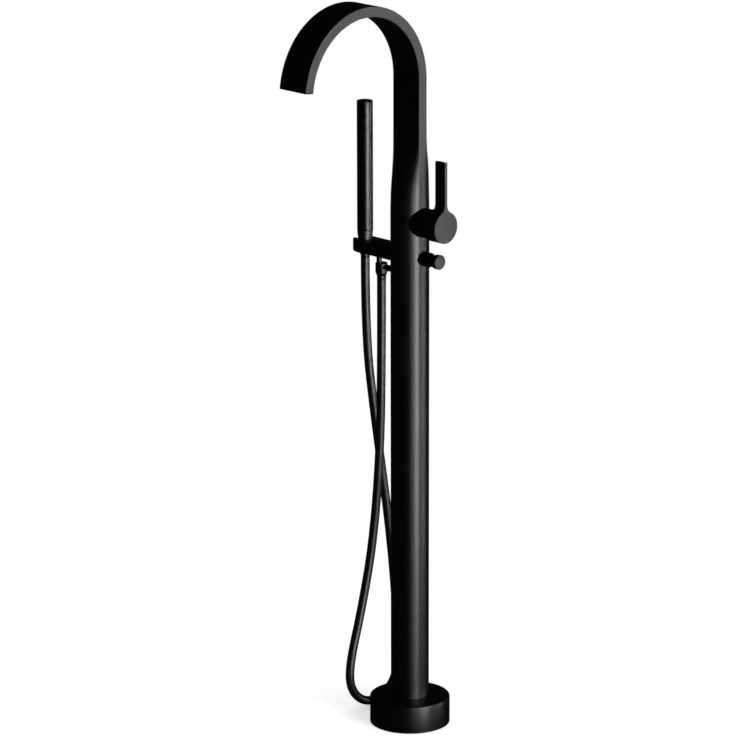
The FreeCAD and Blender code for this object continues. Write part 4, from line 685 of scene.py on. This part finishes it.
cut_out(
    arm,
    rod("arm_saddle", column_radius, arm_low - 5, 30, "up", (0, 0, 0), 128),
    spin("arm_seat", ((0, arm_low - 1), (seat_radius(arm_low - 1, arm_seat_gap), arm_low - 1),
                      (seat_radius(arm_high + 1, arm_seat_gap), arm_high + 1), (0, arm_high + 1)),
         coat, "up", (-arm_reach, 0, 0), 96),
    hose_slot("arm_slot"),
    rod("arm_bolt_hole", 3.02, 15, 37, "left", (0, 0, diverter_height), 32),
    smooth=30)
on_body(arm, "column", "black_coated_steel", "holder_arm")
liner = spin("holder_seat_liner", (
    (seat_radius(arm_low, 0.3), arm_low), (seat_radius(arm_low, arm_seat_gap), arm_low),
    (seat_radius(arm_high, arm_seat_gap), arm_high), (seat_radius(arm_high, 0.3), arm_high, 0.4),
), abs_black, "up", (-arm_reach, 0, 0), 96)
cut_out(liner, hose_slot("liner_slot"), smooth=30)
on_body(liner, "column", "black_plastic", "holder_liner")
finish_nodes(zinc, "arm_screw")
post = spin("holder_post_rod", (
    (0, 737), (4.2, 737, 0.2), (4.2, 750), (0, 750),
), coat, "up", (-67.5, 0, 0), 48)
on_body(post, "column", "black_coated_steel", "holder_post")

# ---------------------------------------------------------------- hose outlet
# Short pipe from the valve into an elbow that turns the water down. A conical nut holds the
# hose's pressed ferrule under it. Turned and coated.
outlet_axis = -62.5
stub = spin("outlet_stub_pipe", ((4, 18), (5, 18), (5, 58), (4, 58)), coat, "left",
            (0, 0, outlet_height), 48)
on_body(stub, "column", "black_coated_steel", "outlet_stub")
elbow = spin("outlet_elbow_body", (
    (0, 719), (6, 719), (6, 725), (9.5, 725, 0.3), (9.5, 737, 0.8), (0, 737),
), coat, "up", (outlet_axis, 0, 0), 64)
cut_out(
    elbow,
    rod("elbow_socket", 5.02, 50, 8, "left", (0, 0, outlet_height), 48),
    rod("elbow_way", 4, 52, 14.5, "left", (0, 0, outlet_height), 32),
    rod("elbow_drop", 4, 715, 16, "up", (outlet_axis, 0, 0), 32),
    smooth=30)
on_body(elbow, "column", "black_coated_steel", "outlet_elbow")
outlet_nut = spin("outlet_hose_nut", (
    (5, 717), (7.5, 717, 0.2), (9.5, 722, 0.3), (9.5, 725, 0.2), (6, 725), (6, 719), (5, 719),
), coat, "up", (outlet_axis, 0, 0), 64)
on_body(outlet_nut, "column", "black_coated_steel", "outlet_nut")
outlet_ferrule = spin("outlet_hose_ferrule", (
    (0, 711), (7.0, 711), (7.2, 711.4), (7.2, 716.6, 0.2), (6.6, 717), (0, 717),
), coat, "up", (outlet_axis, 0, 0), 48)
on_body(outlet_ferrule, "column", "black_coated_steel", "outlet_ferrule")

# ---------------------------------------------------------------- hose
# Smooth plastic shower hose, 14 mm across and 1.5 m long, from the elbow down to the floor and
# up to the hand shower. It hangs under its own weight and its loop turns just above the floor.
HOSE_ROUTE = (
    (-0.0625, 0, 0.711), (-0.0625, 0, 0.575), (-0.0705, 0.0038, 0.425), (-0.082, 0, 0.280),
    (-0.0885, -0.020, 0.168), (-0.0895, -0.045, 0.086), (-0.090, -0.045, 0.041),
    (-0.090, -0.014, 0.0095), (-0.090, 0.030, 0.0095), (-0.090, 0.061, 0.040),
    (-0.091, 0.0615, 0.085), (-0.0925, 0.060, 0.172), (-0.094, 0.0465, 0.300),
    (-0.0965, 0.018, 0.478), (-0.0985, 0, 0.614), (-0.0985, 0, 0.7397),
)
hose_diameter, hose_length = 0.014, 1.5
hose_line = bpy.data.curves.new("hose_line", "CURVE")
hose_line.dimensions = "3D"
hose_line.resolution_u = 24
route = hose_line.splines.new("NURBS")
route.points.add(len(HOSE_ROUTE) - 1)
for point, place in zip(route.points, HOSE_ROUTE):
    point.co = (*place, 1)
route.order_u = 3
route.use_endpoint_u = True
hose_guide = bpy.data.objects.new("hose_line", hose_line)
bpy.context.scene.collection.objects.link(hose_guide)
bpy.context.view_layer.update()
followed = bpy.data.meshes.new_from_object(
    hose_guide.evaluated_get(bpy.context.evaluated_depsgraph_get()))
hose_path = [v.co.copy() for v in followed.vertices]
bpy.data.objects.remove(hose_guide)

# Soft PVC over a woven core: black and smooth, about as glossy as the coating, with a faint
# ripple every 5 mm where the core shows through.
pvc = new_finish("smooth_black_pvc")
pvc_place = add(pvc, "TexCoord")
pvc_ripple = add(pvc, "TexNoise", {"Scale": 1 / 0.005, "Detail": 1.0},
                 {"Vector": pvc_place.outputs["Object"]})
pvc_tone = add(pvc, "ValToRGB", links={"Fac": pvc_ripple.outputs["Fac"]})
pvc_tone.color_ramp.elements[0].color = linear("#060606")
pvc_tone.color_ramp.elements[1].color = linear("#0b0b0b")
pvc_bump = add(pvc, "Bump", {"Strength": 0.05, "Distance": 0.0001},
               {"Height": pvc_ripple.outputs["Fac"]})
pvc_body = add(pvc, "BsdfPrincipled", {"Roughness": 0.31, "IOR": 1.53},
               {"Base Color": pvc_tone.outputs["Color"], "Normal": pvc_bump.outputs["Normal"]})
add(pvc, "OutputMaterial", links={"Surface": pvc_body.outputs["BSDF"]})

hose_around = 24
hose_points, hose_share = [], []
aside = Vector((1, 0, 0))
travelled = [0.0]
for one, two in zip(hose_path, hose_path[1:]):
    travelled.append(travelled[-1] + (two - one).length)
for i, place in enumerate(hose_path):
    ahead = hose_path[min(i + 1, len(hose_path) - 1)] - hose_path[max(i - 1, 0)]
    ahead.normalize()
    aside = (aside - ahead * aside.dot(ahead)).normalized()
    across = ahead.cross(aside)
    for k in range(hose_around):
        t = 2 * math.pi * k / hose_around
        offset = (aside * math.cos(t) + across * math.sin(t)) * hose_diameter / 2
        hose_points.append((place + offset) / MM)
        hose_share.append(travelled[i] / travelled[-1])
hose_faces = faces_between(len(hose_path), hose_around) + closed_ends(len(hose_path), hose_around)
hose = new_piece("shower_hose_tube", hose_points, hose_faces, pvc, smooth=60)
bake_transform(hose, "column", "hose_nut", start=hose_path[0], end=hose_path[-1])
# The loop rises by half of what the hand shower is lifted, so the hose keeps its length.
for weight, share in zip(hose.data.attributes["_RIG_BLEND"].data, hose_share):
    weight.value = share * share * (3 - 2 * share)
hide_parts("shower_hose")

# ---------------------------------------------------------------- conical hose nut
# Turned nut that screws the hose onto the hand shower; its cone rests in the holder. The hose
# ends in a pressed ferrule with a flange, and a flat washer seals it inside the nut.
cone_nut = spin("hose_conical_nut", (
    (6, 745.7), (9.08, 745.7, 0.5), (12.47, 783.7, 0.3), (10.3, 783.7), (10.3, 769.3), (6, 769.3),
), coat, "up", (-arm_reach, 0, 0), 96)
on_body(cone_nut, "hose_nut", "black_coated_steel", "hose_cone_nut")
hose_ferrule = spin("handset_hose_ferrule", (
    (0, 739.7), (7.0, 739.7), (7.2, 740.1), (7.2, 745.6, 0.2), (5.95, 745.7), (5.95, 769.3),
    (9.9, 769.3), (9.9, 770.3), (0, 770.3),
), coat, "up", (-arm_reach, 0, 0), 64)
on_body(hose_ferrule, "hose_nut", "black_coated_steel", "handset_ferrule")
finish_nodes(rubber, "hose_washer")

# ---------------------------------------------------------------- hand shower
# Straight stick hand shower: a coated brass tube with a cap, a threaded inlet with its check
# valve, and a long spray plate on the side away from the bath, with three lines of nozzles.
finish_nodes(brass, "handset_spigot")
finish_nodes(acetal, "check_valve", "handset_chamber")

# Powder coat on brass: the same coat lies smoother on a small turned tube, so its light is
# narrower and brighter than the column's.
fine_coat = coat.copy()
fine_coat.name = "powder_coated_brass"
fine_shine = fine_coat.node_tree.nodes[coat_shine.name]
fine_shine.inputs["To Min"].default_value = 0.22
fine_shine.inputs["To Max"].default_value = 0.25
handset_bore, cap_seam, handset_top = 11.0, 986.0, 988.0
window_half, window_low, window_high = 7.0, 880.0, 975.0
handset = spin("handset_body_tube", (
    (handset_bore, seam_height), (handset_radius, seam_height, 0.4),
    (handset_radius, cap_seam, 0.25), (handset_bore, cap_seam),
), fine_coat, "up", (-arm_reach, 0, 0), 96)
cut_out(handset, block("handset_window", (-arm_reach - 20, -window_half, window_low),
                       (-arm_reach - 5, window_half, window_high)), smooth=30)
on_body(handset, "hand_shower", "black_coated_steel", "handset_tube")
cap = spin("handset_end_cap", (
    (0, 980), (10.95, 980), (10.95, cap_seam), (handset_radius, cap_seam, 0.25),
    (handset_radius, handset_top, 0.8), (0, handset_top),
), fine_coat, "up", (-arm_reach, 0, 0), 96)
on_body(cap, "hand_shower", "black_coated_steel", "handset_cap")
finish_nodes(abs_black, "spray_plate")

# Each nozzle is a soft rubber nib with a rounded lip and a small water hole.
NIB_ROWS, NIB_AROUND = 11, 16
nib_rings = ((0.78, 10.8), (0.78, 12.55), (0.7, 12.8), (0.55, 12.88), (0.32, 12.85), (0.25, 12.6),
             (0.25, 11.8))
nib_points, nib_faces = [], []
for row in range(NIB_ROWS):
    z = window_low + (window_high - window_low) * (row + 0.5) / NIB_ROWS
    for line in (-1, 0, 1):
        out_angle = math.radians(180 + 20 * line)
        out = Vector((math.cos(out_angle), math.sin(out_angle), 0))
        aside = Vector((-out.y, out.x, 0))
        first = len(nib_points)
        for radius, reach in nib_rings:
            for k in range(NIB_AROUND):
                t = 2 * math.pi * k / NIB_AROUND
                spot = out * reach + aside * radius * math.cos(t)
                nib_points.append((spot.x - arm_reach, spot.y, z + radius * math.sin(t)))
        nib_faces += faces_between(len(nib_rings), NIB_AROUND, first=first)
        nib_faces += closed_ends(len(nib_rings), NIB_AROUND, first)
nozzles = new_piece("spray_nozzle_nibs", nib_points, nib_faces, rubber, smooth=40)
on_body(nozzles, "hand_shower", "black_rubber", "spray_nozzles")

# ---------------------------------------------------------------- studio
# White floor that runs out to a white background, soft lamps from the right, and the camera at
# the photograph's angle: 45 degrees to the right of the spout and 16 degrees down.
paper = new_finish("white_paper_floor")
paper_place = add(paper, "TexCoord")
paper_grain = add(paper, "TexNoise", {"Scale": 60.0, "Detail": 2.0},
                  {"Vector": paper_place.outputs["Object"]})
paper_tone = add(paper, "ValToRGB", links={"Fac": paper_grain.outputs["Fac"]})
paper_tone.color_ramp.elements[0].color = linear("#f4f4f4")
paper_tone.color_ramp.elements[1].color = linear("#f7f7f7")
paper_matt = add(paper, "BsdfDiffuse", links={"Color": paper_tone.outputs["Color"]})
paper_ray = add(paper, "LightPath")
paper_mirror = add(paper, "Math", operation="MAXIMUM",
                   links={0: paper_ray.outputs["Is Glossy Ray"],
                          1: paper_ray.outputs["Is Transmission Ray"]})
paper_any = add(paper, "Math", operation="MAXIMUM",
                links={0: paper_ray.outputs["Is Camera Ray"], 1: paper_mirror.outputs["Value"]})
paper_level = add(paper, "Math", {1: 0.45}, operation="MULTIPLY",
                  links={0: paper_any.outputs["Value"]})
paper_glow = add(paper, "Emission", {"Color": linear("#ffffff")},
                 {"Strength": paper_level.outputs["Value"]})
paper_sum = add(paper, "AddShader",
                links={0: paper_matt.outputs["BSDF"], 1: paper_glow.outputs["Emission"]})
add(paper, "OutputMaterial", links={"Surface": paper_sum.outputs["Shader"]})

floor_radius, floor_corners = 2400, 96
floor_turns = [2 * math.pi * i / floor_corners for i in range(floor_corners)]
floor_points = [(floor_radius * math.cos(t), floor_radius * math.sin(t), 0) for t in floor_turns]
floor = new_piece("studio_floor", floor_points, [tuple(range(floor_corners))], paper)

world = bpy.data.worlds.new("white_studio")
bpy.context.scene.world = world
world.use_nodes = True
world.node_tree.nodes.clear()
world_ray = add(world, "LightPath")
world_seen = add(world, "Math", operation="MAXIMUM",
                 links={0: world_ray.outputs["Is Camera Ray"],
                        1: world_ray.outputs["Is Glossy Ray"]})
world_any = add(world, "Math", operation="MAXIMUM",
                links={0: world_seen.outputs["Value"],
                       1: world_ray.outputs["Is Transmission Ray"]})
world_level = add(world, "MapRange", {"To Min": 0.6, "To Max": 1.0},
                  {"Value": world_any.outputs["Value"]})
world_light = add(world, "Background", {"Color": linear("#ffffff")},
                  {"Strength": world_level.outputs["Result"]})
add(world, "OutputWorld", links={"Surface": world_light.outputs["Background"]})


# The shine lamps reach the hand shower and the hose past the column, as the photograph's
# highlights do. Inner pieces and the two rings behind the lever and the knob stay in the shade.
shone_on = bpy.data.collections.new("pieces_that_take_the_shine")
shaded = {sleeve, rosette} | set(cad.values())
for thing in bpy.context.scene.objects:
    if thing.type == "MESH" and thing not in shaded:
        shone_on.objects.link(thing)


def soft_box(name, azimuth, distance, low, high, width, power, shine_only=False):
    """An upright soft box that the camera doesn't see, turned towards the column."""
    lamp = bpy.data.lights.new(name, "AREA")
    lamp.shape = "RECTANGLE"
    lamp.size, lamp.size_y = width, high - low
    lamp.energy = power
    box = bpy.data.objects.new(name, lamp)
    towards = Vector((math.cos(math.radians(azimuth)), math.sin(math.radians(azimuth)), 0))
    box.location = towards * distance + Vector((0, 0, (low + high) / 2))
    box.rotation_euler = towards.to_track_quat("Z", "Y").to_euler()
    box.visible_camera = False
    if shine_only:
        box.visible_diffuse = False
        box.light_linking.receiver_collection = shone_on
        lamp.use_shadow = False
        lamp.cycles.use_multiple_importance_sampling = False
    bpy.context.scene.collection.objects.link(box)
    return box


key_box = soft_box("key_softbox", azimuth=-3, distance=2.4, low=0.0, high=1.9, width=1.0, power=40)
key_box.visible_glossy = False
soft_box("key_shine", azimuth=-2, distance=2.42, low=-0.58, high=1.5, width=1.0, power=54,
         shine_only=True)
soft_box("left_shine", azimuth=-24, distance=2.42, low=-0.58, high=1.5, width=1.0, power=13,
         shine_only=True)
soft_box("rim_shine", azimuth=40, distance=2.42, low=-0.55, high=1.5, width=1.5, power=22,
         shine_only=True)

# Black cloths round the set keep white out of the coating's reflections. They are seen in
# reflections only.
cloth = new_finish("black_flag_cloth")
cloth_body = add(cloth, "Emission", {"Color": linear("#ffffff"), "Strength": 0.006})
add(cloth, "OutputMaterial", links={"Surface": cloth_body.outputs["Emission"]})
flag_line = ((0, 0.2), (2900, 0.2), (3100, 200), (3100, 3000), (2500, 3600), (0, 3800))
flag_around = 64
flag_turns = [2 * math.pi * i / flag_around for i in range(flag_around)]
flag_points = [(radius * math.cos(t), radius * math.sin(t), z)
               for radius, z in flag_line for t in flag_turns]
flags = new_piece("black_flags", flag_points, faces_between(len(flag_line), flag_around), cloth)
for ray in ("camera", "diffuse", "transmission", "volume_scatter", "shadow"):
    setattr(flags, "visible_" + ray, False)

# The camera's place and lens come from the spout's outline in the photograph: how far it looks
# round from the spout's direction and down, its focal length in pixels, and the pixel column of
# the upright tube's middle.
photo_side, focal_pixels, column_pixel = 736, 4314, 409.8
look_round, look_down = math.radians(45.19), math.radians(15.73)
bpy.context.scene.view_settings.view_transform = "Standard"
lens = bpy.data.cameras.new("photo_camera")
lens.sensor_width = 36
lens.lens = lens.sensor_width * focal_pixels / photo_side
lens.shift_x = -(column_pixel - photo_side / 2) / photo_side
lens.clip_end = 60
camera = bpy.data.objects.new("photo_camera", lens)
camera.location = (4.5628, -4.5328, 2.3912)
backwards = Vector((math.sin(look_round) * math.cos(look_down),
                    -math.cos(look_round) * math.cos(look_down), math.sin(look_down)))
camera.rotation_euler = backwards.to_track_quat("Z", "Y").to_euler()
bpy.context.scene.collection.objects.link(camera)
bpy.context.scene.camera = camera
